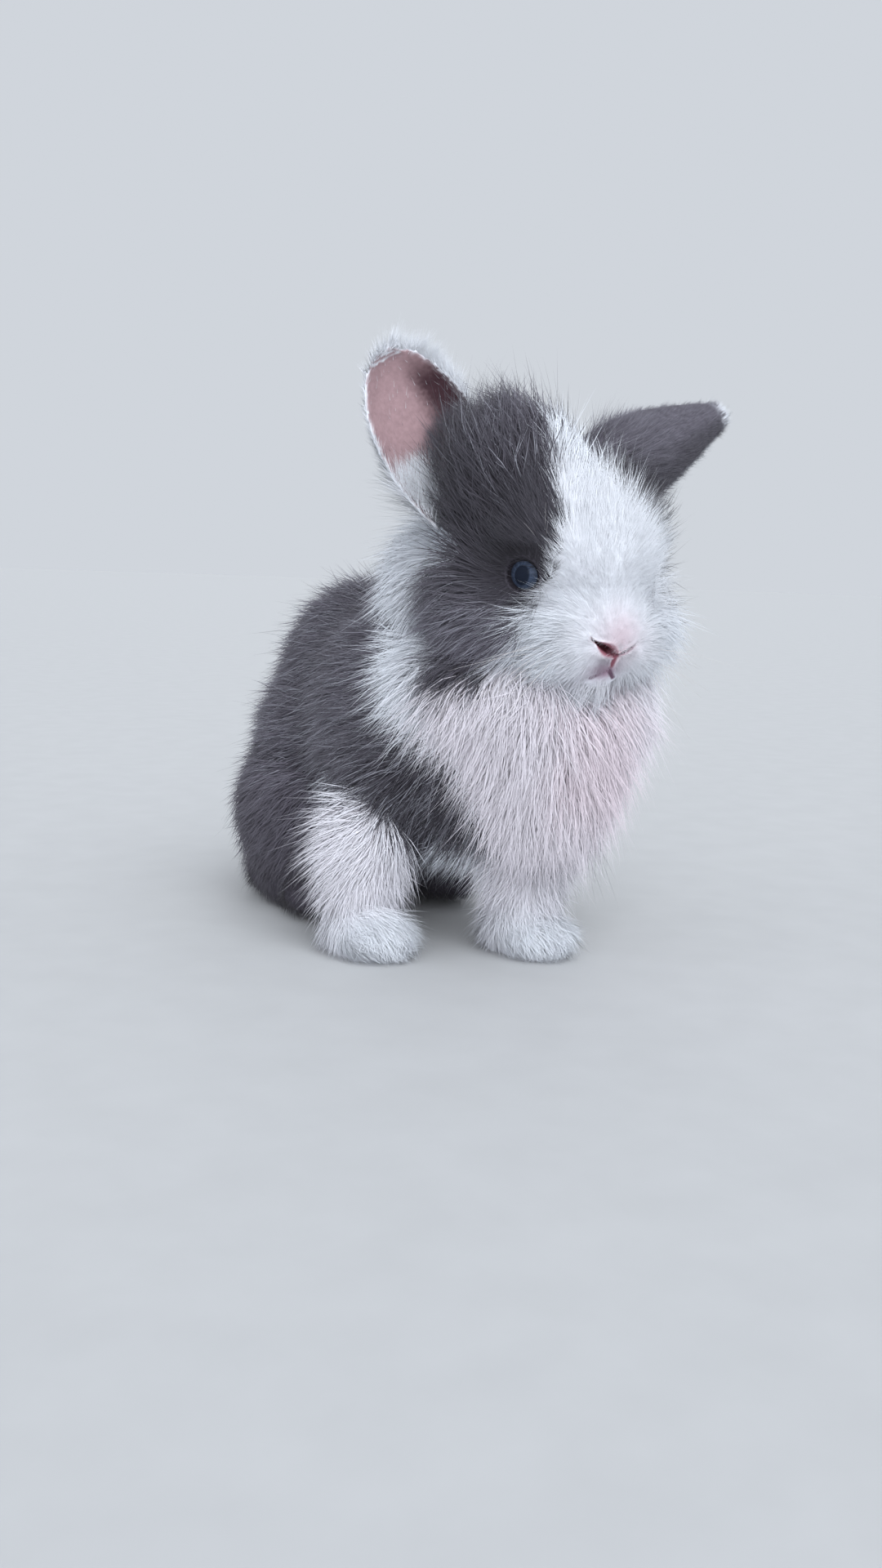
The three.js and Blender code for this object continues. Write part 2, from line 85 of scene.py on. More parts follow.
NOSE = np.array([1.0, -36.0, -12.0])
MUZZLE_BACK = -20.0  # the muzzle's lines lie ahead of this
OFF_MUZZLE = 40.0
SLIT = ((0.3, -12.9), (6.4, -8.9))  # inner and outer end of a nostril's slit, seen from the front
SLIT_RIGHT_SHRINK = 0.78  # share by which x counts on the right, where the slit runs further out
SLIT_WIDTH = (0.3, 0.9)  # at its ends, and more in its middle
SLIT_LEFT_WIDTH = 0.38  # share of that on the left, which is half shut
CLEFT = ((0, -13.0), (0, -17.6))
MOUTH = ((0, -17.6), (3.6, -20.8))
SLIT_GROOVE, CLEFT_GROOVE, MOUTH_GROOVE = 1.9, 0.45, 0.5
WING_SWELL, LIP_SWELL = 0.5, 0.15

# How deep the coat lies over the skin, part by part.
TORSO_COAT = 6.0
MANE_COAT = 9.0
THIGH_COAT = 5.0
TAIL_COAT = 4.0
LEG_COAT = 2.5
FOOT_COAT = 2.4
FACE_COAT = 0.8
SKIN_FLOOR = 0.12  # height of the soles over the floor

LEG_SIDES = 48
HALVINGS = 24
OUTSIDE = 160.0  # further than any form reaches from its centre


def to_head(p):
    """Points in the head's own axes: the head's place taken off, then its turn undone."""
    return (p - HEAD_PLACE) @ HEAD_AXES


def from_head(q):
    """Points of the head's own axes in the animal's axes."""
    return q @ HEAD_AXES.T + HEAD_PLACE


def unit(v):
    """Vectors divided by their lengths."""
    return v / np.maximum(np.linalg.norm(v, axis=-1, keepdims=True), 1e-9)


def ease(low, high, x):
    """0 below low, 1 above high, and the smooth cubic 3t^2 - 2t^3 between them."""
    t = np.clip((x - low) / (high - low), 0, 1)
    return t * t * (3 - 2 * t)


def _origin():
    """The animal's origin in the frame, from the place of its left eye's solid."""
    low, high = (np.array(c) * 1000 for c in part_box("eye_left"))
    return from_head(EYE_PLACE[None])[0] - (low + high) / 2


ORIGIN = _origin()


def to_frame(p):
    """The animal's millimetres as the frame's metres."""
    return (p - ORIGIN) / 1000


# Forms: blended ellipsoids, as the solids have, with a slimmer nape and crown, where the coat lies flat.


class Form:
    """Ellipsoids blended into one body, seen from a centre that sees all of it."""

    def __init__(self, centre, blend, lumps, inset=0.0, head=False):
        self.centre = np.array(centre, float)
        self.lumps = [(np.array(s[:3], float), np.array(s[3:], float)) for s in lumps]
        self.blend, self.inset, self.head = blend, inset, head

    def drawn_in(self, depth):
        """The same form, its surface deeper by depth."""
        form = Form(self.centre, self.blend, [], self.inset + depth, self.head)
        form.lumps = self.lumps
        return form

    def local(self, q):
        """Distance in the form's own axes: for each ellipsoid |q/r| (|q/r| - 1) / |q/r^2|, joined by a soft
        minimum."""
        total = None
        for middle, radii in self.lumps:
            s = (q - middle) / radii
            size = np.linalg.norm(s, axis=-1)
            each = size * (size - 1) / np.maximum(np.linalg.norm(s / radii, axis=-1), 1e-9)
            if total is None:
                total = each
            else:
                h = np.maximum(self.blend - np.abs(total - each), 0) / self.blend
                total = np.minimum(total, each) - h * h * self.blend / 4
        return total + self.inset

    def distance(self, p):
        """Distance outside the form of points in the animal's axes."""
        return self.local(to_head(p) if self.head else p)

    def shell(self, around=96, down=64):
        """Closed grid: along each direction of a globe, the point where the distance is nought, by halving."""
        grid, faces = globe(around, down)
        near, far = np.zeros(len(grid)), np.full(len(grid), OUTSIDE)
        for _ in range(HALVINGS):
            middle = (near + far) / 2
            within = self.local(self.centre + grid * middle[:, None]) < 0
            near, far = np.where(within, middle, near), np.where(within, far, middle)
        points = self.centre + grid * near[:, None]
        return (from_head(points) if self.head else points), faces


def globe(around, down):
    """Directions on a grid of longitude and latitude, with one point at each pole, and its faces turned
    outwards."""
    lat = np.linspace(0, math.pi, down + 1)[1:-1]
    lon = np.arange(around) * 2 * math.pi / around
    rows, turns = np.meshgrid(lat, lon, indexing="ij")
    ring = np.stack([np.sin(rows) * np.cos(turns), np.sin(rows) * np.sin(turns), np.cos(rows)], -1)
    points = np.vstack([ring.reshape(-1, 3), [[0, 0, 1], [0, 0, -1]]])
    return points, capped_faces(down - 1, around)


def capped_faces(rows, around):
    """Triangles of a tube of rings, closed by a fan on a last-but-one and a last point."""
    i, j = np.meshgrid(np.arange(rows - 1), np.arange(around), indexing="ij")
    a, b = i * around + j, i * around + (j + 1) % around
    c, d = a + around, b + around
    sides = np.concatenate([np.stack([a, c, b], -1).reshape(-1, 3), np.stack([b, c, d], -1).reshape(-1, 3)])
    j = np.arange(around)
    top = np.stack([np.full(around, rows * around), j, (j + 1) % around], -1)
    last = (rows - 1) * around
    foot = np.stack([np.full(around, rows * around + 1), last + (j + 1) % around, last + j], -1)
    return np.concatenate([sides, top, foot])


TORSO = Form((2, 40, 58), 8, [
    (2, 62, 62, 29, 38, 46),
    (0, 68, 42, 37, 34, 40),
    (2, 30, 60, 34, 38, 45),
    (3, 4, 58, 31, 26, 36),
    (21, 7, 50, 17, 20, 23),
    (-18, 15, 50, 17, 20, 23),
])
NECK = Form((10, 4, 86), 12, [
    (13, -1, 75, 42, 35, 28),
    (10, 18, 100, 30, 26, 31),
    (31, -20, 84, 20, 17, 26),
    (12, -17, 60, 28, 22, 34),
])
HEAD = Form((0, 0, 2), 7, [
    (0, 2, 6, 29, 29, 27),
    (-12, 10, 20, 22, 22, 24),
    (20, 5, 6, 19, 26, 27),
    (-17, 5, 6, 18, 26, 27),
    (23, -2, -13, 18, 23, 19),
    (-19, 2, -12, 18, 22, 18),
    (0, -14, 5, 15, 15, 17),
    (1, -22, -11, 17, 14.5, 14),
], head=True)
SKULL = Form((0, 0, 2), 5, [
    (0, 3, 6, 27, 27, 24),
    (-12, 10, 19, 17, 19, 20.5),
    (18, -1, -10, 15, 20, 16),
    (-17, 1, -10, 15, 19, 16),
    (11, -9, 3, 12, 14, 14),
    (-11, -9, 3, 12, 14, 14),
    (0, -14, 5, 13, 15, 15),
    (1, -21, -10, 15, 14, 13),
    (8, -25, -13, 8.5, 9.5, 8.5),
    (-6, -25, -13, 8.5, 9.5, 8.5),
    (1, -23.5, -22, 6.5, 6.5, 4.5),
], head=True)
TAIL = Form((0, 103, 32), 2, [(0, 103, 32, 12, 11, 17)])
THIGHS = {side: Form((x, 68, 31), 2, [(x, 68, 31, 18, 29, 28)]) for side, x in (("left", 22), ("right", -22))}
FEET = {
    side: Form((s * 24, 66, 7), 4, [
        (s * 23, 82, 9, 8.5, 12, 10),
        (s * 24, 66, 7, 9, 17, 9),
        (s * 25.5, 49, 7, 10.5, 13, 8),
    ])
    for side, s in (("left", 1), ("right", -1))
}
PAWS = {
    side: Form((x, y - 3, 7), 4, [(x, y, 7, 12, 13, 12), (x, y - 8, 6, 12, 11, 8)])
    for side, x, y in (("left", 11, -11), ("right", -31, 9))
}
FORELEGS = {
    "left": [(17, 10, 50, 11.5), (16, 0, 36, 12.7), (13, -9, 20, 11.5), (11, -9, 8, 10.5)],
    "right": [(-13, 18, 50, 11.5), (-24, 15, 36, 12.7), (-30, 12, 20, 11.5), (-31, 11, 8, 10.5)],
}
EARS = {
    "left": dict(root=(13, 8, 26), tip=(65, 26, 43), bow=(0, 0, 1), cup=(0.05, 0.75, -0.63),
                 outline=(0.85, 0.97, 1, 0.95, 0.84, 0.7, 0.54, 0.4, 0.28)),
    "right": dict(root=(-23, 17, 10), tip=(-47, 31, 51), bow=(-1, 0, 3), cup=(-0.15, -0.95, 0.25),
                  outline=(0.7, 0.95, 1.1, 1.17, 1.17, 1.1, 0.95, 0.7, 0.36)),
}


def leg_line(side, steps=40):
    """Middle line and radius of a foreleg: cubic Lagrange curve through its four stations."""
    s = np.array(FORELEGS[side], float)
    t = np.linspace(0, 3, steps)[:, None]
    k = np.arange(4)
    weights = np.ones((steps, 4))
    for i in range(4):
        for j in k[k != i]:
            weights[:, i] *= (t[:, 0] - j) / (i - j)
    line = weights @ s
    return line[:, :3], line[:, 3]


def leg_distance(side, p, depth=0.0):
    """Distance outside a row of overlapping balls along the foreleg."""
    line, radius = leg_line(side)
    return (np.linalg.norm(p[:, None] - line[None], axis=-1) - radius).min(1) + depth


def leg_shell(side, depth):
    """Closed tube along the foreleg's line, a ring of its radius at each step."""
    line, radius = leg_line(side)
    along = unit(np.gradient(line, axis=0))
    across = unit(np.array([1.0, 0, 0]) - along * along[:, :1])
    front = np.cross(along, across)
    turn = np.arange(LEG_SIDES) * 2 * math.pi / LEG_SIDES
    ring = across[:, None] * np.cos(turn)[None, :, None] + front[:, None] * np.sin(turn)[None, :, None]
    points = line[:, None] + ring * (radius - depth)[:, None, None]
    return np.vstack([points.reshape(-1, 3), line[:1], line[-1:]]), capped_faces(len(line), LEG_SIDES)


def ear_blade(side, steps=60, spread=33):
    """The ear's middle surface as a grid: a curved strip bent round a bowed rib, which is a quadratic curve
    from the root to the tip. The strip's half width follows the ear's outline, evened over seven steps and
    rounded off at the tip. Gives the points, their outward normals, the rib's course, and both parameters."""
    e = {k: np.array(v, float) for k, v in EARS[side].items()}
    u = np.linspace(0, 1, steps)[:, None]
    bend = (e["root"] + e["tip"]) / 2 + e["bow"]
    rib = (1 - u) ** 2 * e["root"] + 2 * u * (1 - u) * bend + u * u * e["tip"]
    along = unit(2 * (1 - u) * (bend - e["root"]) + 2 * u * (e["tip"] - bend))
    facing = unit(e["cup"] - along * (along @ e["cup"])[:, None])
    across = np.cross(along, facing)
    share = np.interp(u[:, 0], np.linspace(0, 1, 9), e["outline"])
    kernel = np.ones(7) / 7
    share = np.convolve(np.pad(share, 3, mode="edge"), kernel, mode="valid")
    share *= np.sqrt(np.clip((1.03 - u[:, 0]) / 0.1, 0, 1))
    width = (EAR_HALF_WIDTH * share)[:, None]
    curl = EAR_CURL[0] + EAR_CURL[1] * u
    v = np.linspace(-1, 1, spread)[None]
    angle = v * curl
    radius = width / np.sin(np.minimum(curl, math.pi / 2))
    normal = across[:, None] * np.sin(angle)[..., None] - facing[:, None] * np.cos(angle)[..., None]
    points = rib[:, None] + normal * radius[..., None] + facing[:, None] * (width * 0.6)[..., None]
    return points, normal, along, u[:, 0], v[0]


def ear_shell(side):
    """The ear's blade given its thickness: both faces of the strip, rounded to a third of it at the margins
    and tip."""
    points, normal, _, u, v = ear_blade(side)
    half = EAR_THICKNESS / 2 - EAR_INSET
    edge = np.sqrt(np.clip(1 - np.abs(v) ** 6, 0, 1))[None] * np.sqrt(np.clip(1 - u**8, 0, 1))[:, None]
    half = (half * (0.35 + 0.65 * edge))[..., None]
    outer, inner = points + normal * half, points - normal * half
    rings = np.concatenate([outer, inner[:, ::-1]], 1)
    ends = np.stack([points[0].mean(0), points[-1].mean(0)])
    return from_head(np.vstack([rings.reshape(-1, 3), ends])), capped_faces(len(rings), rings.shape[1])


def eye_axes(side):
    """Centre, forward, sideways and upward directions of an eye in the head's axes."""
    mirror = np.array([1.0 if side == "left" else -1.0, 1, 1])
    forward = unit(EYE_AIM * mirror)
    up = unit(np.array([0, 0, 1.0]) - forward * forward[2])
    return EYE_PLACE * mirror, forward, np.cross(up, forward), up


def eye_opening(side, q):
    """How far points lie from the middle of the lids' opening, 1 at its rim, and how far from the eye's
    centre."""
    centre, forward, sideways, up = eye_axes(side)
    e = q - centre
    span = np.hypot(e @ sideways / LID_OPENING[0], e @ up / LID_OPENING[1])
    return np.where(e @ forward > 0, span, OFF_EYE), np.linalg.norm(e, axis=-1)


def segment_distance(p, ends):
    """Distance of flat points from the straight piece between two ends, and the share along it."""
    a, b = (np.array(end, float) for end in ends)
    t = np.clip((p - a) @ (b - a) / ((b - a) @ (b - a)), 0, 1)
    return np.linalg.norm(p - a - t[:, None] * (b - a), axis=-1), t


def muzzle_lines(q):
    """Distances from the nostrils' slits, the cleft below the nose and the line of the mouth, seen from the
    front, and the share along a slit. A slit's distance is divided by its width, which swells in its
    middle."""
    x = q[:, 0] - NOSE[0]
    flat = np.stack([np.where(x > 0, x, -SLIT_RIGHT_SHRINK * x), q[:, 2]], -1)
    slit, t = segment_distance(flat, SLIT)
    swell = np.sin(math.pi * np.clip(0.1 + 1.05 * t, 0, 1))
    slit = slit / ((SLIT_WIDTH[0] + SLIT_WIDTH[1] * swell) * np.where(x > 0, SLIT_LEFT_WIDTH, 1.0))
    cleft, _ = segment_distance(flat, CLEFT)
    mouth, _ = segment_distance(np.stack([np.abs(x), q[:, 2]], -1), MOUTH)
    front = np.where(q[:, 1] < MUZZLE_BACK, 0.0, OFF_MUZZLE)
    return slit + front, cleft + front, mouth + front, t


# Meshes from arrays.


def put_mesh(name, points, triangles, colours=None, patches=None, shading=None):
    """A smooth mesh object from whole arrays: points in the animal's millimetres, triangles, and for each
    point its colour, its place on the bake's map and its direction of shading."""
    mesh = bpy.data.meshes.new(name)
    mesh.vertices.add(len(points))
    mesh.vertices.foreach_set("co", to_frame(points).astype(np.float32).ravel())
    mesh.loops.add(triangles.size)
    mesh.loops.foreach_set("vertex_index", triangles.astype(np.int32).ravel())
    mesh.polygons.add(len(triangles))
    mesh.polygons.foreach_set("loop_start", np.arange(0, triangles.size, 3, dtype=np.int32))
    mesh.polygons.foreach_set("use_smooth", np.ones(len(triangles), bool))
    mesh.update(calc_edges=True)
    if colours is not None:
        put_colours(mesh, colours)
    if shading is not None:
        mesh.normals_split_custom_set_from_vertices(shading.astype(np.float32))
    if patches is not None:
        layer = mesh.uv_layers.new(name="OFBake")
        layer.data.foreach_set("uv", patches[triangles.ravel()].astype(np.float32).ravel())
    piece = bpy.data.objects.new(name, mesh)
    bpy.context.scene.collection.objects.link(piece)
    return piece


def put_colours(mesh, colours):
    """Writes a colour for each point of a mesh."""
    layer = mesh.color_attributes.new(name="Hue", type="FLOAT_COLOR", domain="POINT")
    full = np.ones((len(colours), 4), np.float32)
    full[:, :3] = np.clip(colours, 0, 1)
    layer.data.foreach_set("color", full.ravel())


def join_shells(shells):
    """Several closed grids as one list of points and triangles."""
    points, faces, start = [], [], 0
    for p, f in shells:
        points.append(p)
        faces.append(f + start)
        start += len(p)
    return np.vstack(points), np.vstack(faces)


def read_mesh(mesh):
    """Points in the animal's millimetres, outward normals and triangles of a mesh."""
    mesh.calc_loop_triangles()
    count = len(mesh.vertices)
    co, no = np.empty(count * 3, np.float32), np.empty(count * 3, np.float32)
    tri = np.empty(len(mesh.loop_triangles) * 3, np.int32)
    mesh.vertices.foreach_get("co", co)
    mesh.vertices.foreach_get("normal", no)
    mesh.loop_triangles.foreach_get("vertices", tri)
    points = co.reshape(-1, 3).astype(float) * 1000 + ORIGIN
    return points, no.reshape(-1, 3).astype(float), tri.reshape(-1, 3)


def relax(mesh, points, rounds, where=None):
    """Evens a mesh without shrinking it: points move half way to their neighbours' mean, then back by a
    little more."""
    pairs = np.empty(len(mesh.edges) * 2, np.int32)
    mesh.edges.foreach_get("vertices", pairs)
    a, b = pairs.reshape(-1, 2).T
    ends, others = np.concatenate([a, b]), np.concatenate([b, a])
    count = np.maximum(np.bincount(ends, minlength=len(points)), 1)[:, None]
    keep = 1.0 if where is None else where[:, None]
    for turn in range(2 * rounds):
        mean = np.stack([np.bincount(ends, points[others, k], len(points)) for k in range(3)], -1) / count
        points = points + keep * (0.5 if turn % 2 == 0 else -0.52) * (mean - points)
    return points


def drift(p, wavelength, seed):
    """A smooth vector field: three sums of six sines along seeded directions."""
    rng = np.random.default_rng(seed)
    waves = unit(rng.normal(size=(18, 3))) * rng.uniform(0.7, 1.5, (18, 1)) * 2 * math.pi / wavelength
    wave = np.sin(p @ waves.T + rng.uniform(0, 2 * math.pi, 18))
    return wave.reshape(len(p), 3, 6).sum(-1) / 1.7


# Maps of the pelt: what grows at each place of the skin.

REGIONS = ("head", "neck", "torso", "leg_left", "leg_right", "paw_left", "paw_right", "thigh_left", "thigh_right",
           "foot_left", "foot_right", "tail", "ear_left", "ear_right")
HEAD_ROW, NECK_ROW, TORSO_ROW = 0, 1, 2
REGION_BLEND = 2.6  # over which the coat of one region passes into the next one's
DEEPEST_COAT = 12.0

# Each kind of region's coat: its lie, the length and width of its tufts, and how many times over they cover
# the skin. Where these change along the region, find_lie and find_tufts work them out, and the table has what
# they start from.
COATS = {
    "head": dict(lie=(0, 0, 0), length=0, width=0, cover=4.4),
    "neck": dict(lie=(0, 0, 0), length=16, width=0.21, cover=6.2),
    "torso": dict(lie=(0, 1, -0.6), length=11, width=0.22, cover=3.4),
    "leg": dict(lie=(0, 0, 0), length=9.5, width=0.21, cover=4.2),
    "paw": dict(lie=(0, -0.8, -0.5), length=7, width=0.15, cover=4.0),
    "thigh": dict(lie=(0, 0.7, -1), length=9, width=0.25, cover=2.9),
    "foot": dict(lie=(0, -1, -0.15), length=4.5, width=0.19, cover=2.2),
    "tail": dict(lie=(0, 0.5, 1), length=9, width=0.26, cover=3.4),
    "ear": dict(lie=(0, 0, 0), length=2.6, width=0.15, cover=2.4),
}

# Zones of the head: how each bends the lie, and whether its sideways share turns about on the right.
ZONE_LEAN = {
    "cheek": ((0.5, 0.2, -0.9), True),
    "crown": ((0, 0.2, 0.55), False),
    "tuft": ((-0.35, 0, 0.6), False),
    "ruff": ((-0.35, -0.35, 0.8), False),
    "wisp": ((0.55, -0.1, 0.8), False),
    "chin": ((0, -0.3, -1.0), False),
    "pad": ((0.3, 0, -0.55), True),
}
ZONE_LENGTH = {"pad": 6.5, "chin": 8.5, "tuft": 4, "wisp": 5.5, "ruff": 4}  # what each adds to the length
CHEEK_LENGTH = 0.6  # share by which the cheeks' coat is longer
ELBOW_LEAN = {"left": (0.35, 0.4), "right": (-0.35, 0.7)}  # outwards and backwards

# Length and width of the face's tufts, by their distance from the nose.
FACE_LENGTH = ((0, 6, 14, 24, 36, 50, 66), (0.9, 1.8, 3.2, 4.6, 6.5, 9.5, 12))
FACE_WIDTH = ((0, 14, 30, 50), (0.11, 0.14, 0.18, 0.24))

# The right ear's long white hair: its share of the length, cover, height and lean that the plume adds.
PLUME_LENGTH, PLUME_COVER, PLUME_HEIGHT, PLUME_LEAN = 3.4, 6.0, 3.0, 0.9

# Ways that the white fur is turned for its shading, so that it takes the light as fine hair does.
PLUME_FACING = np.array([-0.2, -0.6, 0.8])
FRONT_FACING = np.array([-0.2, -0.6, 0.4])

# Edges of the slate coat. On the face: sideways, by the degrees up from straight ahead. Below it: height, by
# the degrees sideways. Behind it: degrees sideways, by the height. On the trunk: length from the front, by
# the height.
BLAZE_RIGHT = ((-31, -16, 0, 15, 35, 50, 74, 90, 96), (-18, -17, -16.2, -15.5, -12.6, -11.2, -10.8, -10.5, -9))
BLAZE_LEFT = ((-31, -10, 30, 45, 56, 60, 69.5, 77, 90, 96), (27, 26, 26, 24, 21, 17, 12, 8, 0, -8))
WHITE_BELOW = ((0, 40, 54, 66, 86, 108, 125), (-13, -13, -17, -32, -32, -18, -6))
WHITE_BEHIND = ((-20, 10, 30), (112, 122, 150))
TRUNK_FRONT = ((31, 32, 35, 41.6, 50.8, 61.8, 66, 73.6, 85, 100), (9, -1, -9, -16.4, -17, -13.6, -6, 7.4, 18, 23))
EDGE_SOFTNESS = 1.2
WISP_GREY = 0.62  # share of slate among the white behind the forelegs

# Lightness of the head's slate coat, by its height on the head.
HEAD_TONE = ((-24, -12, -3, 8, 20, 36), (1.6, 1.45, 1.05, 0.66, 0.72, 1.05))
# The last of these darkens the coat on the folded half of the left ear: painted shade in its fold.
EAR_TONE, LEFT_EAR_TONE, FOLD_SHADE = 1.1, 0.4, 0.4


def by_region(column):
    """One column of the table of coats, with a row for each region."""
    return np.array([COATS[name.split("_")[0]][column] for name in REGIONS], float)


class Pelt:
    """Maps over the skin's points: region, lie, length and height of the coat, its markings and bare places."""

    def __init__(self, points, normals, triangles):
        self.p, self.n, self.triangles = points, normals, triangles
        self.q = to_head(points)
        self.far = np.linalg.norm(self.q - NOSE, axis=-1)
        self.find_regions()
        self.find_zones()
        self.find_lie()
        self.find_tufts()
        self.find_height()
        self.bare()
        self.find_markings()

    def distances(self, head, inset):
        """Distance from each part but the ears, drawn in by its coat's depth times the inset."""
        p = self.p
        forms = ((head, FACE_COAT), (NECK, MANE_COAT), (TORSO, TORSO_COAT))
        found = [form.drawn_in(depth * inset).distance(p) for form, depth in forms]
        found += [leg_distance(side, p, LEG_COAT * inset) for side in SIDES]
        for limb, depth in ((PAWS, FOOT_COAT), (THIGHS, THIGH_COAT), (FEET, FOOT_COAT)):
            found += [limb[side].drawn_in(depth * inset).distance(p) for side in SIDES]
        return found + [TAIL.drawn_in(TAIL_COAT * inset).distance(p)]

    def find_regions(self):
        """Each region's share of a point falls off with how much further it is than the nearest region's
        surface. A point's depth is how far it lies inside the outline that the coat fills, mixed by those
        shares."""
        core, self.ear = self.distances(SKULL, 1), {}
        for side in SIDES:
            gap, self.ear[side] = self.ear_place(side)
            core.append(gap)
        core = np.stack(core, -1)
        near = core - core.min(1, keepdims=True)
        share = np.exp(-((near / REGION_BLEND) ** 2))
        self.share = share / share.sum(1, keepdims=True)
        down = np.full(len(self.p), -EAR_DOWN)
        deep = np.maximum(-np.stack(self.distances(HEAD, 0) + [down, down], -1), 0)
        self.buried = deep.max(1)
        self.depth = (np.minimum(deep, DEEPEST_COAT) * self.share).sum(1)

    def ear_place(self, side):
        """Gap from each point to the ear, and its place there: how far up the blade and across it the nearest
        point lies, how far behind the blade it is, and the lie of the coat."""
        grid, normal, along, u, v = ear_blade(side, 44, 25)
        course, margin = (m.ravel() for m in np.meshgrid(u, v, indexing="ij"))
        rise = np.repeat(along, len(v), 0)
        out = np.repeat(np.cross(along, -normal[:, len(v) // 2]), len(v), 0)
        grid, normal = grid.reshape(-1, 3), normal.reshape(-1, 3)
        gap, best = np.full(len(self.q), 99.0), np.zeros(len(self.q), int)
        near = np.flatnonzero(((self.q > grid.min(0) - 8) & (self.q < grid.max(0) + 8)).all(1))
        for part in np.array_split(near, max(1, len(near) // 4000)):
            square = ((self.q[part][:, None] - grid[None]) ** 2).sum(-1)
            best[part] = square.argmin(1)
            gap[part] = np.sqrt(square.min(1)) - EAR_THICKNESS / 2 + EAR_INSET
        back = ((self.q - grid[best]) * normal[best]).sum(1)
        course, margin = course[best], margin[best]
        lie = rise[best] + out[best] * (PLUME_LEAN * self.plume(side, course, margin, back))[:, None]
        return gap, (course, margin, back, lie)

    def plume(self, side, course, margin, back):
        """Share of the long white hair behind the upper inner edge of the right ear."""
        if side == "left":
            return 0 * course
        return ease(0.42, 0.62, course) * ease(-0.1, 0.3, back) * ease(-0.75, -0.1, margin)

    def mat_end(self, side):
        """How far up an ear its hollow is matted with hair: further beside the crown than on its outer side."""
        margin = self.ear[side][1]
        if side == "left":
            return 0.15 + 0 * margin
        return 0.26 + 0.15 * ease(-0.3, 0.5, margin)

    def part(self, *names):
        """Summed share of the named regions at each point."""
        return self.share[:, [REGIONS.index(n) for n in names]].sum(1)

    def find_zones(self):
        """Shares of the places where the coat changes: those of the head, and the elbows, above the ankles."""
        x, y, z = self.q.T
        self.zones = {
            "cheek": ease(12, 20, np.abs(x)) * ease(8, -4, z),
            "crown": ease(18, 30, z),
            "tuft": ease(14, 24, z) * ease(-4, -16, x) * ease(34, 22, y),
            "ruff": ease(-20, -27, x) * ease(-6, 4, z) * ease(32, 22, z),
            "wisp": ease(14, 22, z) * ease(1, 9, x) * ease(32, 20, y),
            "chin": ease(-17, -23, z) * ease(2, -10, y),
            "pad": ease(4, 12, np.abs(x - 1)) * ease(36, 24, self.far) * ease(2, -6, z),
            "elbow": ease(22, 36, self.p[:, 2]),
        }

    def find_lie(self):
        """Direction of the coat: away from the nose and from the eyes on the head, each region's own
        elsewhere, with a smooth drift, and laid flat on the skin. Takes some length off the hair at the lids,
        too."""
        q, count = self.q, len(self.p)
        x, y, _ = q.T
        px, py, pz = self.p.T
        even = np.ones(count)
        away = unit(q - NOSE)
        for name, (lean, mirrored) in ZONE_LEAN.items():
            sideways = (np.sign(x) if mirrored else even) * lean[0]
            away += self.zones[name][:, None] * np.stack([sideways, even * lean[1], even * lean[2]], -1)
        self.lids = np.ones(count)
        for side in SIDES:
            centre, forward, _, _ = eye_axes(side)
            span, reach = eye_opening(side, q)
            span = np.where(reach < LASH_REACH, span, OFF_EYE)
            around = q - centre - ((q - centre) @ forward)[:, None] * forward
            seen = 1.0 if side == "right" else ease(-14, -9, y)
            away += (1.8 * seen * ease(2.1, 1.2, span))[:, None] * unit(around)
            self.lids = np.minimum(self.lids, 1 - 0.45 * seen * ease(1.9, 1.0, span))
        flow = np.tile(by_region("lie"), (count, 1, 1))
        flow[:, HEAD_ROW] = away @ HEAD_AXES.T
        nape_rise = -1 + 0.6 * ease(100, 120, pz)
        flow[:, NECK_ROW] = np.stack([(px - 12) * 0.02, 0.4 * ease(-25, 10, py) - 0.05, nape_rise], -1)
        elbow = self.zones["elbow"]
        for side in SIDES:
            outwards, backwards = ELBOW_LEAN[side]
            lean = np.stack([outwards * elbow, 0.2 + backwards * elbow, -1 + 0.2 * elbow], -1)
            flow[:, REGIONS.index("leg_" + side)] = lean
            flow[:, REGIONS.index("ear_" + side)] = self.ear[side][3] @ HEAD_AXES.T
        lie = (flow * self.share[..., None]).sum(1)
        lie += 0.16 * drift(self.p, 14, SEED + 1) + 0.1 * drift(self.p, 5, SEED + 2)
        self.lie = unit(lie - self.n * (lie * self.n).sum(1, keepdims=True))

    def find_tufts(self):
        """Length, width and density of the tufts, mixed from each region's own by its share. The density is
        how many times over they cover the skin, by a tuft's own area."""
        px, py, pz = self.p.T
        x, y, z = self.q.T
        length, width, cover = (np.tile(by_region(column), (len(px), 1)) for column in ("length", "width", "cover"))
        face = np.interp(self.far, *FACE_LENGTH) * (1 + CHEEK_LENGTH * self.zones["cheek"])
        for name, extra in ZONE_LENGTH.items():
            face = face + extra * self.zones[name]
        face = face * self.lids
        lip = np.exp(-(((x + 1.0) / 4.0) ** 2 + ((z + 15.6) / 3.5) ** 2)) * (y < MUZZLE_BACK)
        length[:, HEAD_ROW] = face * (1 - 0.6 * lip)
        length[:, NECK_ROW] -= 4 * (ease(0, 16, py) * ease(16, 2, px))
        length[:, TORSO_ROW] -= 3 * ease(60, 85, py)
        leg = COATS["leg"]["length"] + 6 * self.zones["elbow"] + 1.5 * ease(26, 14, pz)
        self.stands = 0 * x
        for side in SIDES:
            row = REGIONS.index("ear_" + side)
            length[:, REGIONS.index("leg_" + side)] = leg
            course, margin, back, _ = self.ear[side]
            fringe = ease(0.8, 0.97, np.abs(margin)) * (1 - 0.7 * ease(0.5, 0.7, course))
            fringe = fringe + 5 * ease(0.42, 0.0, course) * ease(0, 0.4, back)
            start = self.mat_end(side)
            mat = ease(start + 0.1, start - 0.05, course) * ease(0.3, -0.1, back)
            plume = self.plume(side, course, margin, back)
            root = ease(0.5, 0.05, course) * ease(0, 0.4, back)
            if side == "right":
                root = root + ease(0.5, 0.15, course) * ease(-0.5, -0.85, margin)
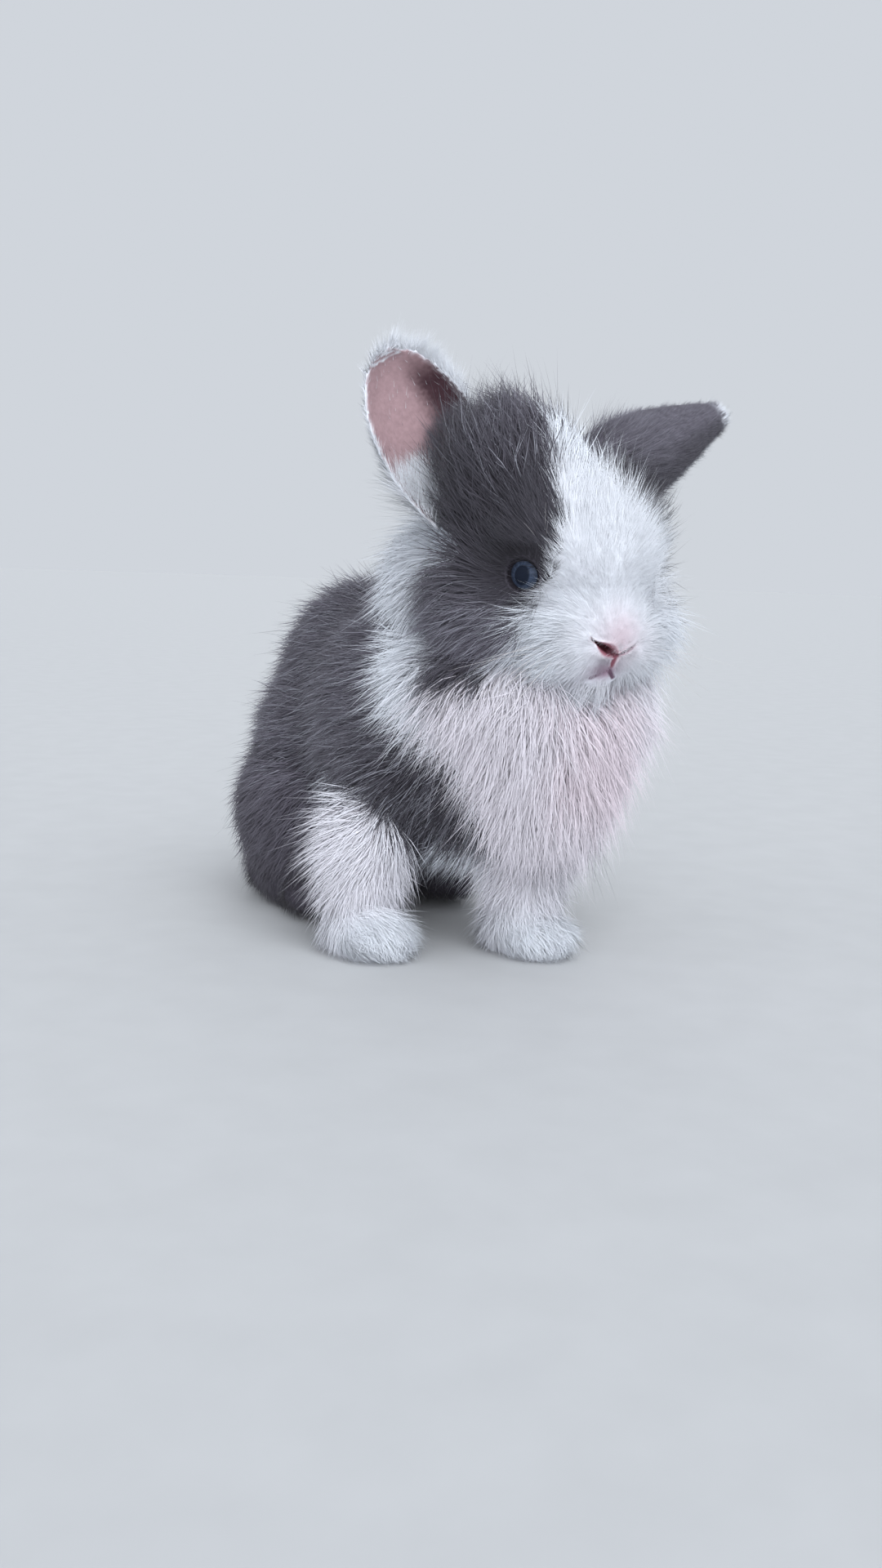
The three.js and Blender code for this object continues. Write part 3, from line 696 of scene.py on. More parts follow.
                mat = mat + 0.2 * ease(0.88, 0.95, course)
            length[:, row] = length[:, row] + 1.1 * fringe + 5.5 * mat + PLUME_LENGTH * plume + 2.5 * root
            cover[:, row] = cover[:, row] + 2.4 * mat + PLUME_COVER * plume
            self.stands = self.stands + (PLUME_HEIGHT * plume + 4 * mat + 4 * root) * self.part("ear_" + side)
        width[:, HEAD_ROW] = np.interp(self.far, *FACE_WIDTH)
        self.length = (length * self.share).sum(1)
        self.width = (width * self.share).sum(1)
        self.density = (self.share * cover).sum(1) / (0.6 * self.width * self.length)

    def find_height(self):
        """How far the tufts' tips stand off the skin: out to the outline that the coat fills, more on pads
        and chin, less below the head, on rump and paws. Also the way that the tufts are turned for their
        shading."""
        px, py, pz = self.p.T
        head, neck, in_ear = self.part("head"), self.part("neck"), self.part("ear_left", "ear_right")
        self.depth += self.part("leg_left", "leg_right") * (1 + 3.5 * self.zones["elbow"])
        stand = (0.42 + 0.1 * np.maximum(self.zones["pad"], self.zones["chin"])) * head
        height = np.clip(np.maximum(self.depth, stand * self.length), 0.5, 11) * (1 - in_ear)
        self.height = height + in_ear * (0.4 + 0.12 * self.length) + 0.5 * self.stands
        self.height *= 1 - 0.6 * (neck * ease(6, -3, HEAD.distance(self.p)))
        rump = ease(45, 70, py) * ease(0, -15, px) * ease(64, 50, pz)
        paws = self.part("paw_left", "paw_right")
        self.height *= 1 - 0.5 * rump * self.part("torso", "thigh_right") - 0.3 * paws
        plume = 3 * (self.plume("right", *self.ear["right"][:3]) * self.part("ear_right"))
        front = 0.9 * (head * ease(-8, -20, self.q[:, 2]) + 0.5 * neck)
        self.facing = unit(self.n + plume[:, None] * PLUME_FACING + front[:, None] * FRONT_FACING)

    def bare(self):
        """Takes the coat off the eyes, nostrils and mouth, the soles and the ears' inside, and what lies too
        deep."""
        keep = np.ones(len(self.p))
        self.rim = np.full(len(self.p), OFF_EYE)
        for side in SIDES:
            span, reach = eye_opening(side, self.q)
            span = np.where(reach < LID_REACH, span, OFF_EYE)
            self.rim = np.minimum(self.rim, span)
        keep *= ease(1.02, 1.12, self.rim)
        slit, cleft, mouth, _ = muzzle_lines(self.q)
        keep *= ease(1.05, 1.5, np.minimum(np.minimum(slit, cleft), mouth))
        lip = ((self.q[:, 0] - NOSE[0] - 0.3) / 2.6) ** 2 + ((self.q[:, 2] + 17.4) / 2.8) ** 2
        keep *= 1 - 0.8 * np.exp(-lip) * (self.q[:, 1] < MUZZLE_BACK)
        keep *= ease(0.4, 0.9, self.p[:, 2])
        keep *= ease(19, 15, self.buried)
        for side in SIDES:
            course, margin, back, _ = self.ear[side]
            start = self.mat_end(side)
            inner = ease(0.1, -0.3, back) * self.part("ear_" + side) * ease(1.0, 0.9, np.abs(margin))
            keep *= 1 - 0.99 * inner * ease(start - 0.05, start + 0.1, course) * ease(0.97, 0.9, course)
        self.density *= keep

    def mark_head(self, q):
        """Share of slate on the head: outside the blaze, above the white jaw and ahead of the white behind."""
        x, y, z = q.T
        pitch = np.degrees(np.arctan2(z, -y))
        beside = np.degrees(np.arctan2(x, -y))
        turn = np.degrees(np.arctan2(np.abs(x), -y))
        right, left = np.interp(pitch, *BLAZE_RIGHT), np.interp(pitch, *BLAZE_LEFT)
        left = np.where((z < 16) & (x > 0), np.where(beside < 70, 60.0, x - 3.0 * (beside - 70)), left)
        soft = EDGE_SOFTNESS
        blaze = ease(-soft, soft, x - right) * ease(-soft, soft, left - x) * ease(97, 90, pitch)
        below = ease(1.5, -1.5, z - np.interp(turn, *WHITE_BELOW))
        behind = ease(-2, 2, turn - np.interp(z, *WHITE_BEHIND)) * ease(34, 26, z)
        return (1 - blaze) * (1 - below) * (1 - behind)

    def mark_ear(self, side):
        """Share of slate on an ear: pale at its rim, and at the left one's tip; the right one is white in its
        upper half and on its outer side."""
        course, margin, _, _ = self.ear[side]
        grey = 1 - 0.75 * ease(0.84, 0.96, np.abs(margin))
        if side == "left":
            return grey * (1 - 0.85 * ease(0.87, 0.94, course))
        grey = grey * (1 - ease(0.5, 0.6, course))
        return grey * (1 - 0.95 * ease(0.5, 0.3, course) * ease(0.1, -0.35, margin))

    def find_markings(self):
        """Share of slate coat at each point, its tone, and where the pink tint, painted shade round the eyes, frost
        and the lips' tint lie. The pink tint is painted reflected light on throat, chest and forelegs, and the
        skin's own pink round the nose. The edges sway a little, by a smooth drift."""
        sway = drift(self.p, 9, SEED + 5)
        q, p = self.q + 0.9 * sway, self.p + 1.3 * sway
        px, py, pz = p.T
        z, turn = q[:, 2], np.degrees(np.arctan2(np.abs(q[:, 0]), -q[:, 1]))
        trunk = ease(-1.5, 1.5, py - np.interp(pz, *TRUNK_FRONT))
        elbow = np.hypot((py - 28) / 16, (pz - 38) / 11)
        trunk *= np.where(px < -18, ease(0.9, 1.1, elbow), 1)
        lobe = np.hypot((py + 11) / 8, (pz - 87) / 8)
        grey = np.ones((len(p), len(REGIONS)))
        grey[:, HEAD_ROW] = self.mark_head(q)
        grey[:, NECK_ROW] = np.maximum(trunk * ease(12, 20, py), ease(1.1, 0.9, lobe) * ease(0, -6, px))
        grey[:, TORSO_ROW] = trunk
        wisps = WISP_GREY * ease(0, 8, py - np.where(px > 0, -4, 10)) * ease(6, 18, pz)
        for side in SIDES:
            grey[:, REGIONS.index("leg_" + side)] = wisps
            grey[:, REGIONS.index("paw_" + side)] = 0
            grey[:, REGIONS.index("ear_" + side)] = self.mark_ear(side)
        self.grey = np.clip((grey * self.share).sum(1), 0, 1)
        head, neck = self.part("head"), self.part("neck")
        ears, left_ear, body = self.part("ear_left", "ear_right"), self.part("ear_left"), self.part("torso", "neck")
        throat = ease(-8, -18, py) * ease(44, 60, pz) * ease(16, 6, np.abs(px - 16))
        nose = np.exp(-((np.linalg.norm(self.q - np.array([1, -34, -8.0]), axis=-1) / 6) ** 2))
        legs = self.part("leg_left", "leg_right")
        # Pink tint of the white coat: painted reflected light from below on throat, chest and forelegs, and the
        # skin's own pink round the nose.
        self.pink_reflection_and_blush = neck * (0.55 * ease(0, -14, py) + 0.45 * throat) + 0.35 * legs
        self.pink_reflection_and_blush = self.pink_reflection_and_blush + nose * head
        tone = np.interp(z, *HEAD_TONE) * head + EAR_TONE * ears + 0.6 * body * ease(20, 60, py + pz * 0.5)
        tone = tone + (1 - self.part("head", "ear_left", "ear_right")) * np.where(body > 0.5, 0.6, 1.2)
        # Painted shade: the coat on the folded half of the left ear is darker.
        fold_shade = ease(0.0, -0.5, self.ear["left"][1]) * left_ear
        self.tone = np.clip(tone * (1 - FOLD_SHADE * fold_shade) * (1 + LEFT_EAR_TONE * left_ear), 0.5, 1.7)
        # Painted shade: the slate coat round each eye is darkened as if in the shade of its hollow.
        self.shade = 0.85 * np.exp(-(((self.rim - 1.2) / 0.4) ** 2)) * self.grey
        self.frost = 0.3 * head * ease(2, -8, z) * ease(120, 90, turn) + 0.2 * body + 0.12 * head * ease(14, 26, z)
        lip = ((self.q[:, 0] - NOSE[0] + 2.0) / 4.0) ** 2 + ((self.q[:, 2] + 16.6) / 3.0) ** 2
        self.lip_fur = np.exp(-lip) * (self.q[:, 1] < MUZZLE_BACK)


PELT = {}  # the skin's maps, which the coat is sown from


# Sizes, colours and light that a user would change.


class RabbitCoat(bpy.types.PropertyGroup):
    """Lengths, density and colours of the coat, and the fineness of the skin"""

    mane_length: FloatProperty(
        name="Mane length", description="Share of the modelled length of the mane",
        default=1.0, min=0.3, max=1.6, subtype="FACTOR")
    coat_length: FloatProperty(
        name="Coat length", description="Share of the modelled length of the rest of the coat",
        default=1.0, min=0.3, max=1.6, subtype="FACTOR")
    thickness: FloatProperty(
        name="Density", description="Share of the modelled number of tufts",
        default=1.0, min=0.05, max=1.2, subtype="FACTOR")
    slate_root: FloatVectorProperty(
        name="Slate, root", description="Slate coat near the skin",
        default=(0.050, 0.046, 0.057), subtype="COLOR", min=0, max=1)
    slate: FloatVectorProperty(
        name="Slate", description="Slate coat half way up",
        default=(0.090, 0.083, 0.103), subtype="COLOR", min=0, max=1)
    slate_tip: FloatVectorProperty(
        name="Slate, tip", description="Silvery ends of the slate coat",
        default=(0.215, 0.210, 0.250), subtype="COLOR", min=0, max=1)
    white_root: FloatVectorProperty(
        name="White, root", description="White coat near the skin",
        default=(0.88, 0.895, 0.955), subtype="COLOR", min=0, max=1)
    white: FloatVectorProperty(
        name="White", description="White coat",
        default=(0.875, 0.915, 0.985), subtype="COLOR", min=0, max=1)
    # Pink tint: painted reflected light from below on the white coat of throat, chest and forelegs; round the nose
    # the skin's own pink.
    pink_reflection_and_blush: FloatVectorProperty(
        name="Blush", description="Tint of the thin coat on throat and chest",
        default=(0.86, 0.715, 0.785), subtype="COLOR", min=0, max=1)
    voxel: FloatProperty(
        name="Skin detail", description="Size of the skin's cells",
        default=0.00101, min=0.0006, max=0.004, subtype="DISTANCE", unit="LENGTH", precision=5)


class RabbitFace(bpy.types.PropertyGroup):
    """Eyes, bare skin and whiskers"""

    iris: FloatVectorProperty(
        name="Iris", description="Colour of the iris",
        default=(0.036, 0.048, 0.077), subtype="COLOR", min=0, max=1)
    pupil_radius: FloatProperty(
        name="Pupil", description="Radius of the pupil",
        default=0.0020, min=0.0005, max=0.004, subtype="DISTANCE", unit="LENGTH", precision=4)
    skin_pink: FloatVectorProperty(
        name="Bare skin", description="Skin of the ears' inside",
        default=(0.335, 0.228, 0.243), subtype="COLOR", min=0, max=1)
    lip: FloatVectorProperty(
        name="Nose and lips", description="Nostrils, cleft and lips",
        default=(0.34, 0.13, 0.17), subtype="COLOR", min=0, max=1)
    whiskers: IntProperty(
        name="Whiskers", description="Whiskers on each side",
        default=12, min=0, max=30)


class RabbitStage(bpy.types.PropertyGroup):
    """Lights, floor and camera"""

    key_power: FloatProperty(
        name="Key light", description="Watts per square metre of the main soft light",
        default=1.6, min=0, max=10)
    fill_power: FloatProperty(
        name="Fill light", description="Watts per square metre of the back light, which sets the other weaker lights",
        default=0.3, min=0, max=10)
    floor: FloatVectorProperty(
        name="Floor", description="Colour of the floor",
        default=(0.541, 0.548, 0.558), subtype="COLOR", min=0, max=1)
    lens: FloatProperty(
        name="Lens", description="Focal length of the camera",
        default=31.18, min=10, max=200, subtype="DISTANCE_CAMERA", unit="CAMERA")


# Materials.

SHEEN_ROUGHNESS = 0.6
WET_ROUGHNESS = 0.04
NOISE_LOW, NOISE_HIGH = 0.3, 0.7  # the part of a noise's range that is spread over a tint's
BUMP_HEIGHT = 0.0004  # in metres
BUMP_GRAIN = 900.0


def new_material(name, roughness, specular, sheen=0.0, coat=0.0):
    """A Principled material with its constant values on its own sockets."""
    material = bpy.data.materials.new(name)
    material.use_nodes = True
    nodes, links = material.node_tree.nodes, material.node_tree.links
    shader = nodes["Principled BSDF"]
    shader.inputs["Roughness"].default_value = roughness
    shader.inputs["Specular IOR Level"].default_value = specular
    shader.inputs["Sheen Weight"].default_value = sheen
    shader.inputs["Sheen Roughness"].default_value = SHEEN_ROUGHNESS
    shader.inputs["Coat Weight"].default_value = coat
    shader.inputs["Coat Roughness"].default_value = WET_ROUGHNESS
    return material, nodes, links, shader


def hue_material(name, roughness, specular, grain, depth, sheen=0.0, coat=0.0, bump=0.0):
    """The points' own colour, made lighter and darker by a fine noise of the given grain, with a noise bump."""
    material, nodes, links, shader = new_material(name, roughness, specular, sheen, coat)
    hue = nodes.new("ShaderNodeAttribute")
    hue.attribute_name = "Hue"
    place = nodes.new("ShaderNodeTexCoord")
    noise = nodes.new("ShaderNodeTexNoise")
    noise.inputs["Scale"].default_value = grain
    noise.inputs["Detail"].default_value = 3
    links.new(place.outputs["Object"], noise.inputs["Vector"])
    span = nodes.new("ShaderNodeMapRange")
    span.inputs["From Min"].default_value = NOISE_LOW
    span.inputs["From Max"].default_value = NOISE_HIGH
    span.inputs["To Min"].default_value = 1 - depth
    span.inputs["To Max"].default_value = 1 + depth
    links.new(noise.outputs["Fac"], span.inputs["Value"])
    tint = nodes.new("ShaderNodeVectorMath")
    tint.operation = "SCALE"
    links.new(hue.outputs["Color"], tint.inputs[0])
    links.new(span.outputs["Result"], tint.inputs["Scale"])
    links.new(tint.outputs["Vector"], shader.inputs["Base Color"])
    if bump:
        fine = nodes.new("ShaderNodeTexNoise")
        fine.inputs["Scale"].default_value = BUMP_GRAIN
        fine.inputs["Detail"].default_value = 4
        links.new(place.outputs["Object"], fine.inputs["Vector"])
        relief = nodes.new("ShaderNodeBump")
        relief.inputs["Strength"].default_value = bump
        relief.inputs["Distance"].default_value = BUMP_HEIGHT
        links.new(fine.outputs["Fac"], relief.inputs["Height"])
        links.new(relief.outputs["Normal"], shader.inputs["Normal"])
    return material


# Skin.

# Painted shade: dark colour of the shaded fold in the hollow of an ear.
EAR_FOLD_SHADE_HUE = np.array([0.035, 0.013, 0.02])
LEFT_SLIT_HUE = np.array([0.36, 0.27, 0.33])
MAUVE = np.array([0.36, 0.22, 0.31])
NOSE_TIP_HUE = np.array([0.66, 0.42, 0.46])
# Dark red of the nostrils' insides: the lining's red, darkened as painted shade in their depth.
NOSTRIL_SHADE_HUE = np.array([0.05, 0.012, 0.017])
LID_HUE = np.array([0.014, 0.012, 0.016])
NOSE_TIP = np.array([1, -35.0, -11.5])
NOSE_TIP_SIZE = np.array([5.5, 6, 4.2])
MUZZLE_MIDDLE = np.array([1, -33.0, -15.0])
EVENING_ROUNDS = 5
FINE_EVENING_ROUNDS = 6
FEWEST_POINTS = 5000


def tinted(hue, share, colour):
    """A map of colours moved towards another colour by a share at each point."""
    return hue + share[:, None] * (colour - hue)


def skin_colours(pelt, coat, face):
    """The coat's markings, a little darker as in the depth of the fur, with bare skin on nose, lips, lids and
    inside the ears. The white takes on a pink tint of painted reflected light, the ears' hollows painted
    shade towards their folds, and the nostrils painted shade in their depth. Each mark is laid over the
    ones before it by its own share."""
    grey = pelt.grey[:, None]
    slate = (np.array(coat.slate) * 0.55 + np.array(coat.slate_root) * 0.45) * pelt.tone[:, None]
    white = np.array(coat.white) * 0.6 + np.array(coat.white_root) * 0.4
    # The skin under the white coat takes half the pink tint, painted reflected light from below.
    hue = tinted(white * (1 - grey) + slate * grey, pelt.pink_reflection_and_blush * 0.5, np.array(coat.pink_reflection_and_blush))
    for side in SIDES:
        course, margin, back, _ = pelt.ear[side]
        inner = ease(0.15, -0.35, back) * pelt.part("ear_" + side) * ease(1.0, 0.9, np.abs(margin))
        pink = np.array(face.skin_pink)[None] * (0.75 + 0.45 * ease(0.1, 0.55, course))[:, None]
        # Painted shade: the pink of an ear's hollow goes dark towards the margin where its fold lies in shade.
        fold_shade = ease(0.1, 0.55, margin if side == "right" else -margin)[:, None] * ease(0.95, 0.7, course)[:, None]
        pink = pink * (1 - 0.92 * fold_shade) + EAR_FOLD_SHADE_HUE * 0.92 * fold_shade
        hue = tinted(hue, inner * ease(0.0, 0.12, course), pink)
    slit, cleft, mouth, t = muzzle_lines(pelt.q)
    x, z = pelt.q[:, 0] - NOSE[0], pelt.q[:, 2]
    left = 0.75 * ease(0.3, 1.0, x)
    flesh = tinted(np.array(face.lip), left, LEFT_SLIT_HUE)
    patch = np.exp(-(((x + 0.5) / 3.6) ** 2 + ((z + 18.4) / 3.0) ** 2)) * (pelt.q[:, 1] < MUZZLE_BACK)
    tip = np.linalg.norm((pelt.q - NOSE_TIP) / NOSE_TIP_SIZE, axis=-1)
    # Painted shade in the nostrils' depth: darker flesh at their inner ends, near black beyond them.
    nostril_shade = tinted(flesh * 0.7, ease(0.08, 0.3, t), NOSTRIL_SHADE_HUE)
    hue = tinted(hue, 0.95 * patch, MAUVE)
    hue = tinted(hue, 0.7 * np.exp(-(tip**2)), NOSE_TIP_HUE)
    hue = tinted(hue, ease(1.9, 1.0, slit), flesh)
    hue = tinted(hue, ease(1.1, 0.35, cleft), flesh * 0.8)
    hue = tinted(hue, ease(0.9, 0.3, mouth), MAUVE * 0.55)
    hue = tinted(hue, ease(1.0, 0.45, slit), nostril_shade)
    return tinted(hue, ease(1.14, 1.05, pelt.rim), LID_HUE)


def carve_face(points):
    """Moves the skin's points: into the sockets inside the lids, out along the lids' rims, and into nostrils,
    cleft and mouth. Each groove and swelling is a bell curve of the distance from its line."""
    q = to_head(points)
    for side in SIDES:
        centre, _, _, _ = eye_axes(side)
        span, far = eye_opening(side, q)
        near = far < LID_REACH - 0.5
        inside = ease(1.05, 0.93, span) * near
        rim = np.exp(-(((span - 1.16) / 0.12) ** 2)) * near
        reach = far + inside * (SOCKET_DEPTH - far) + rim * LID_LIFT
        q = centre + (q - centre) * (reach / np.maximum(far, 1e-6))[:, None]
    slit, cleft, mouth, _ = muzzle_lines(q)
    groove = SLIT_GROOVE * np.exp(-((slit / 0.7) ** 2)) + CLEFT_GROOVE * np.exp(-((cleft / 0.45) ** 2))
    groove = groove + MOUTH_GROOVE * np.exp(-((mouth / 0.5) ** 2))
    swell = WING_SWELL * np.exp(-(((slit - 1.5) / 0.7) ** 2)) + LIP_SWELL * np.exp(-(((mouth - 1.5) / 0.8) ** 2))
    q = q + np.array([0, 1.0, 0]) * (groove - swell)[:, None]
    return from_head(q)


def subdivide_near(mesh, centres, radius, cuts):
    """Splits the faces near the given places into smaller ones."""
    points = read_mesh(mesh)[0]
    near = np.zeros(len(points), bool)
    for centre in centres:
        near |= np.linalg.norm(points - centre, axis=-1) < radius
    pairs = np.empty(len(mesh.edges) * 2, np.int32)
    mesh.edges.foreach_get("vertices", pairs)
    picked = np.flatnonzero(near[pairs.reshape(-1, 2)].all(1))
    bm = bmesh.new()
    bm.from_mesh(mesh)
    bm.edges.ensure_lookup_table()
    bmesh.ops.subdivide_edges(bm, edges=[bm.edges[i] for i in picked], cuts=cuts, use_grid_fill=True)
    bmesh.ops.triangulate(bm, faces=[f for f in bm.faces if len(f.verts) > 4])
    bm.to_mesh(mesh)
    bm.free()
    mesh.update()


def skin_shells():
    """The flesh below the coat, part by part, with a ball round each eye."""
    shells = [SKULL.drawn_in(FACE_COAT).shell(160, 110), NECK.drawn_in(MANE_COAT).shell()]
    shells += [TORSO.drawn_in(TORSO_COAT).shell(), TAIL.drawn_in(TAIL_COAT).shell(48, 32)]
    for side in SIDES:
        shells += [THIGHS[side].drawn_in(THIGH_COAT).shell(64, 48), FEET[side].drawn_in(FOOT_COAT).shell(64, 48)]
        shells += [PAWS[side].drawn_in(FOOT_COAT).shell(64, 48), leg_shell(side, LEG_COAT), ear_shell(side)]
        ball, faces = globe(48, 32)
        shells.append((from_head(eye_axes(side)[0] + ball * (EYE_RADIUS + 0.9)), faces))
    return shells


def put_points(mesh, points):
    """Writes a mesh's points, given in the animal's millimetres."""
    mesh.vertices.foreach_set("co", to_frame(points).astype(np.float32).ravel())


class RABBIT_OT_skin(bpy.types.Operator):
    """Grows the flesh shells into one skin without seams, evens it, carves the face and colours it"""

    bl_idname = "rabbit.skin"
    bl_label = "Skin"

    def execute(self, context):
        coat, face = context.scene.rabbit_coat, context.scene.rabbit_face
        mesh = self.grown(context, coat.voxel * (1))
        if len(mesh.vertices) < FEWEST_POINTS:
            raise RuntimeError("the skin's shells did not grow together")
        put_points(mesh, relax(mesh, read_mesh(mesh)[0], EVENING_ROUNDS))
        eyes = [from_head(eye_axes(s)[0] + eye_axes(s)[1] * 7)[None][0] for s in SIDES]
        nose = from_head(MUZZLE_MIDDLE)
        subdivide_near(mesh, eyes, 9, 2)
        subdivide_near(mesh, [nose], 11, 3)
        points = read_mesh(mesh)[0]
        near = np.zeros(len(points))
        for centre in eyes + [nose]:
            near = np.maximum(near, ease(11, 8, np.linalg.norm(points - centre, axis=-1)))
        points = carve_face(relax(mesh, points, FINE_EVENING_ROUNDS, near))
        points[:, 2] = np.maximum(points[:, 2], SKIN_FLOOR)
        put_points(mesh, points)
        mesh.polygons.foreach_set("use_smooth", np.ones(len(mesh.polygons), bool))
        mesh.update()
        pelt = Pelt(*read_mesh(mesh))
        PELT["skin"] = pelt
        put_colours(mesh, skin_colours(pelt, coat, face))
        mesh.materials.clear()
        mesh.materials.append(hue_material("skin", 0.8, 0.06, 700.0, 0.1, bump=0.25))
        mesh.name = "skin"
        skin = bpy.data.objects.new("skin", mesh)
        context.scene.collection.objects.link(skin)
        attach(skin, "root")
        flesh = [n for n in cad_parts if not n.startswith("eye")]
        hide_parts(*flesh)
        print("skin triangles", len(pelt.triangles))
        return {"FINISHED"}

    def grown(self, context, cell):
        """One closed mesh round all the shells, made of cells of the given size."""
        source = put_mesh("skin_source", *join_shells(skin_shells()))
        remesh = source.modifiers.new("grow together", "REMESH")
        remesh.mode = "VOXEL"
        remesh.voxel_size = cell
        context.view_layer.update()
        mesh = bpy.data.meshes.new_from_object(source.evaluated_get(context.evaluated_depsgraph_get()))
        bpy.data.objects.remove(source)
        return mesh


# Eyes.

EYE_DARK = np.array([0.010, 0.014, 0.026])  # pupil
EYE_WHITE = np.array([0.02, 0.015, 0.018])  # the globe's shaded part, beside the iris
EYE_BACK = np.array([0.3, 0.2, 0.2])
RIM_HUE = np.array([0.012, 0.009, 0.012])
STREAKS = (11, 17, 23, 31, 43)  # how many of each kind of streak run round the iris
IRIS_RADIUS = 4.6
RIM_STEPS, RIM_SIDES = 96, 12
RIM_RADIUS = 0.27


class RABBIT_OT_eyes(bpy.types.Operator):
    """Makes both eyeballs with iris and pupil, and the dark rims of the lids"""

    bl_idname = "rabbit.eyes"
    bl_label = "Eyes"

    def execute(self, context):
        face = context.scene.rabbit_face
        glass = hue_material("eye", 0.5, 0.02, 2500.0, 0.12, coat=0.14)
        wet = hue_material("lid_rim", 0.45, 0.3, 1500.0, 0.15)
        for side in SIDES:
            ball = put_mesh("eye_ball_" + side, *self.eyeball(side, face))
            ball.data.materials.append(glass)
            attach(ball, "root")
            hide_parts("eye_" + side)
            rim = put_mesh("lid_rim_" + side, *self.lid_rim(side))
            rim.data.materials.append(wet)
            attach(rim, "root")
        return {"FINISHED"}

    def eyeball(self, side, face):
        """A globe whose pole looks forward, raised there by a low dome. Its colour goes by the distance from
        the pole: pupil, iris with streaks that are sums of sines of the turn about the pole, and shaded
        white."""
        centre, forward, sideways, up = eye_axes(side)
        grid, faces = globe(160, 120)
        reach = EYE_RADIUS + EYE_DOME * np.exp(-(((1 - grid[:, 2]) / 0.12) ** 2))
        points = centre + (grid[:, :1] * sideways + grid[:, 1:2] * up + grid[:, 2:] * forward) * reach[:, None]
        off = np.hypot(grid[:, 0], grid[:, 1] * 0.8) * EYE_RADIUS
        turn = np.arctan2(grid[:, 1], grid[:, 0])
        pupil = face.pupil_radius * 1000
        streak = sum(np.sin(turn * k + k * k) / 3 for k in STREAKS)
        iris = np.array(face.iris)[None] * (1.05 + 0.25 * streak)[:, None]
        iris = iris * (1.25 - 0.3 * ease(pupil, IRIS_RADIUS, off))[:, None]
        hue = EYE_DARK + (iris - EYE_DARK) * ease(pupil - 0.15, pupil + 0.35, off)[:, None]
        white = ease(5.0, 6.0, off)[:, None] * np.where(grid[:, 2] > 0, 1, 0)[:, None]
        hue = np.where(grid[:, 2:] > 0, hue, EYE_BACK[None]) * (1 - white) + white * EYE_WHITE
        hue *= (1 - 0.75 * ease(4.3, 4.9, np.hypot(grid[:, 0], grid[:, 1]) * EYE_RADIUS))[:, None]
        return from_head(points), faces, hue

    def lid_rim(self, side):
        """A tube round the lids' opening: a circle carried along the opening's ellipse, on a ball just over
        the eye."""
        centre, forward, sideways, up = eye_axes(side)
        t = np.arange(RIM_STEPS) * 2 * math.pi / RIM_STEPS
        a, b = LID_OPENING[0] * 1.03 * np.cos(t), LID_OPENING[1] * 1.03 * np.sin(t)
        ball = EYE_RADIUS + LID_LIFT
        line = a[:, None] * sideways + b[:, None] * up + np.sqrt(ball**2 - a**2 - b**2)[:, None] * forward
        out = unit(line)
        along = unit(np.roll(line, -1, 0) - np.roll(line, 1, 0))
        side_on = np.cross(along, out)
        v = np.arange(RIM_SIDES) * 2 * math.pi / RIM_SIDES
        tube = RIM_RADIUS + 0.05 * np.sin(3 * t)[:, None, None]
        ring = out[:, None] * np.cos(v)[None, :, None] + side_on[:, None] * np.sin(v)[None, :, None]
        points = line[:, None] + tube * ring
        i, j = np.meshgrid(np.arange(RIM_STEPS), np.arange(RIM_SIDES), indexing="ij")
        here, there = i * RIM_SIDES, (i + 1) % RIM_STEPS * RIM_SIDES
        after = (j + 1) % RIM_SIDES
        first = np.stack([here + j, there + j, here + after], -1).reshape(-1, 3)
        second = np.stack([here + after, there + j, there + after], -1).reshape(-1, 3)
        grid = from_head(centre + points.reshape(-1, 3))
        hue = np.tile(RIM_HUE, (len(grid), 1))
        inside = from_head(centre + line.repeat(RIM_SIDES, 0))
        return grid, turned_out(grid, np.concatenate([first, second]), inside), hue


def turned_out(points, faces, inside):
    """Faces turned so that they look away from each one's inner point."""
    a, b, c = (points[faces[:, k]] for k in range(3))
    wrong = (np.cross(b - a, c - a) * (a - inside[faces[:, 0]])).sum(1) < 0
    faces = faces.copy()
    faces[wrong] = faces[wrong][:, ::-1]
    return faces


# Coat.

# A tuft runs out along its lie and rises off the skin by these powers of its length, and narrows as the taper
# says.
RUN_POWER = 1.15
RISE_POWER = 1.9
TAPER = ((0, 0.4, 0.75, 1), (0.85, 1, 0.62, 0))
ROOT_DEPTH = 0.5
LOWEST_TUFT = 0.35
SIDE_SHADING, BACK_SHADING, TIP_SHADING = 0.35, 0.2, 0.3  # how far a tuft's faces turn from the skin's direction
PATCH = 0.003  # size of a tuft's patch on the bake's map, as a share of the map
MAP_EDGE, MAP_SPAN = 0.004, 0.992  # margin of the bake's map, and what lies between its margins
FROST_HUE = np.array([0.42, 0.43, 0.49])
LIP_FUR_HUE = np.array([0.44, 0.30, 0.40])
LONG_STEPS = (0.0, 0.5, 1.0)
SHORT_STEPS = (0.0, 1.0)
HEAD_MIDDLE = np.array([0, 2, 4.0])
FEWEST_TUFTS = 10
MOST_TRIANGLES = 200000
STRAY_SHARE = 0.16  # share of the tufts that are longer, finer and stand up more

# How untidy the coat is: how far the lowest tufts lie below the highest, and how they sway by drift and at
# random.
MANE_SHAPE = (0.26, 0.06, 0.045)
COAT_SHAPE = (0.5, 0.10, 0.06)


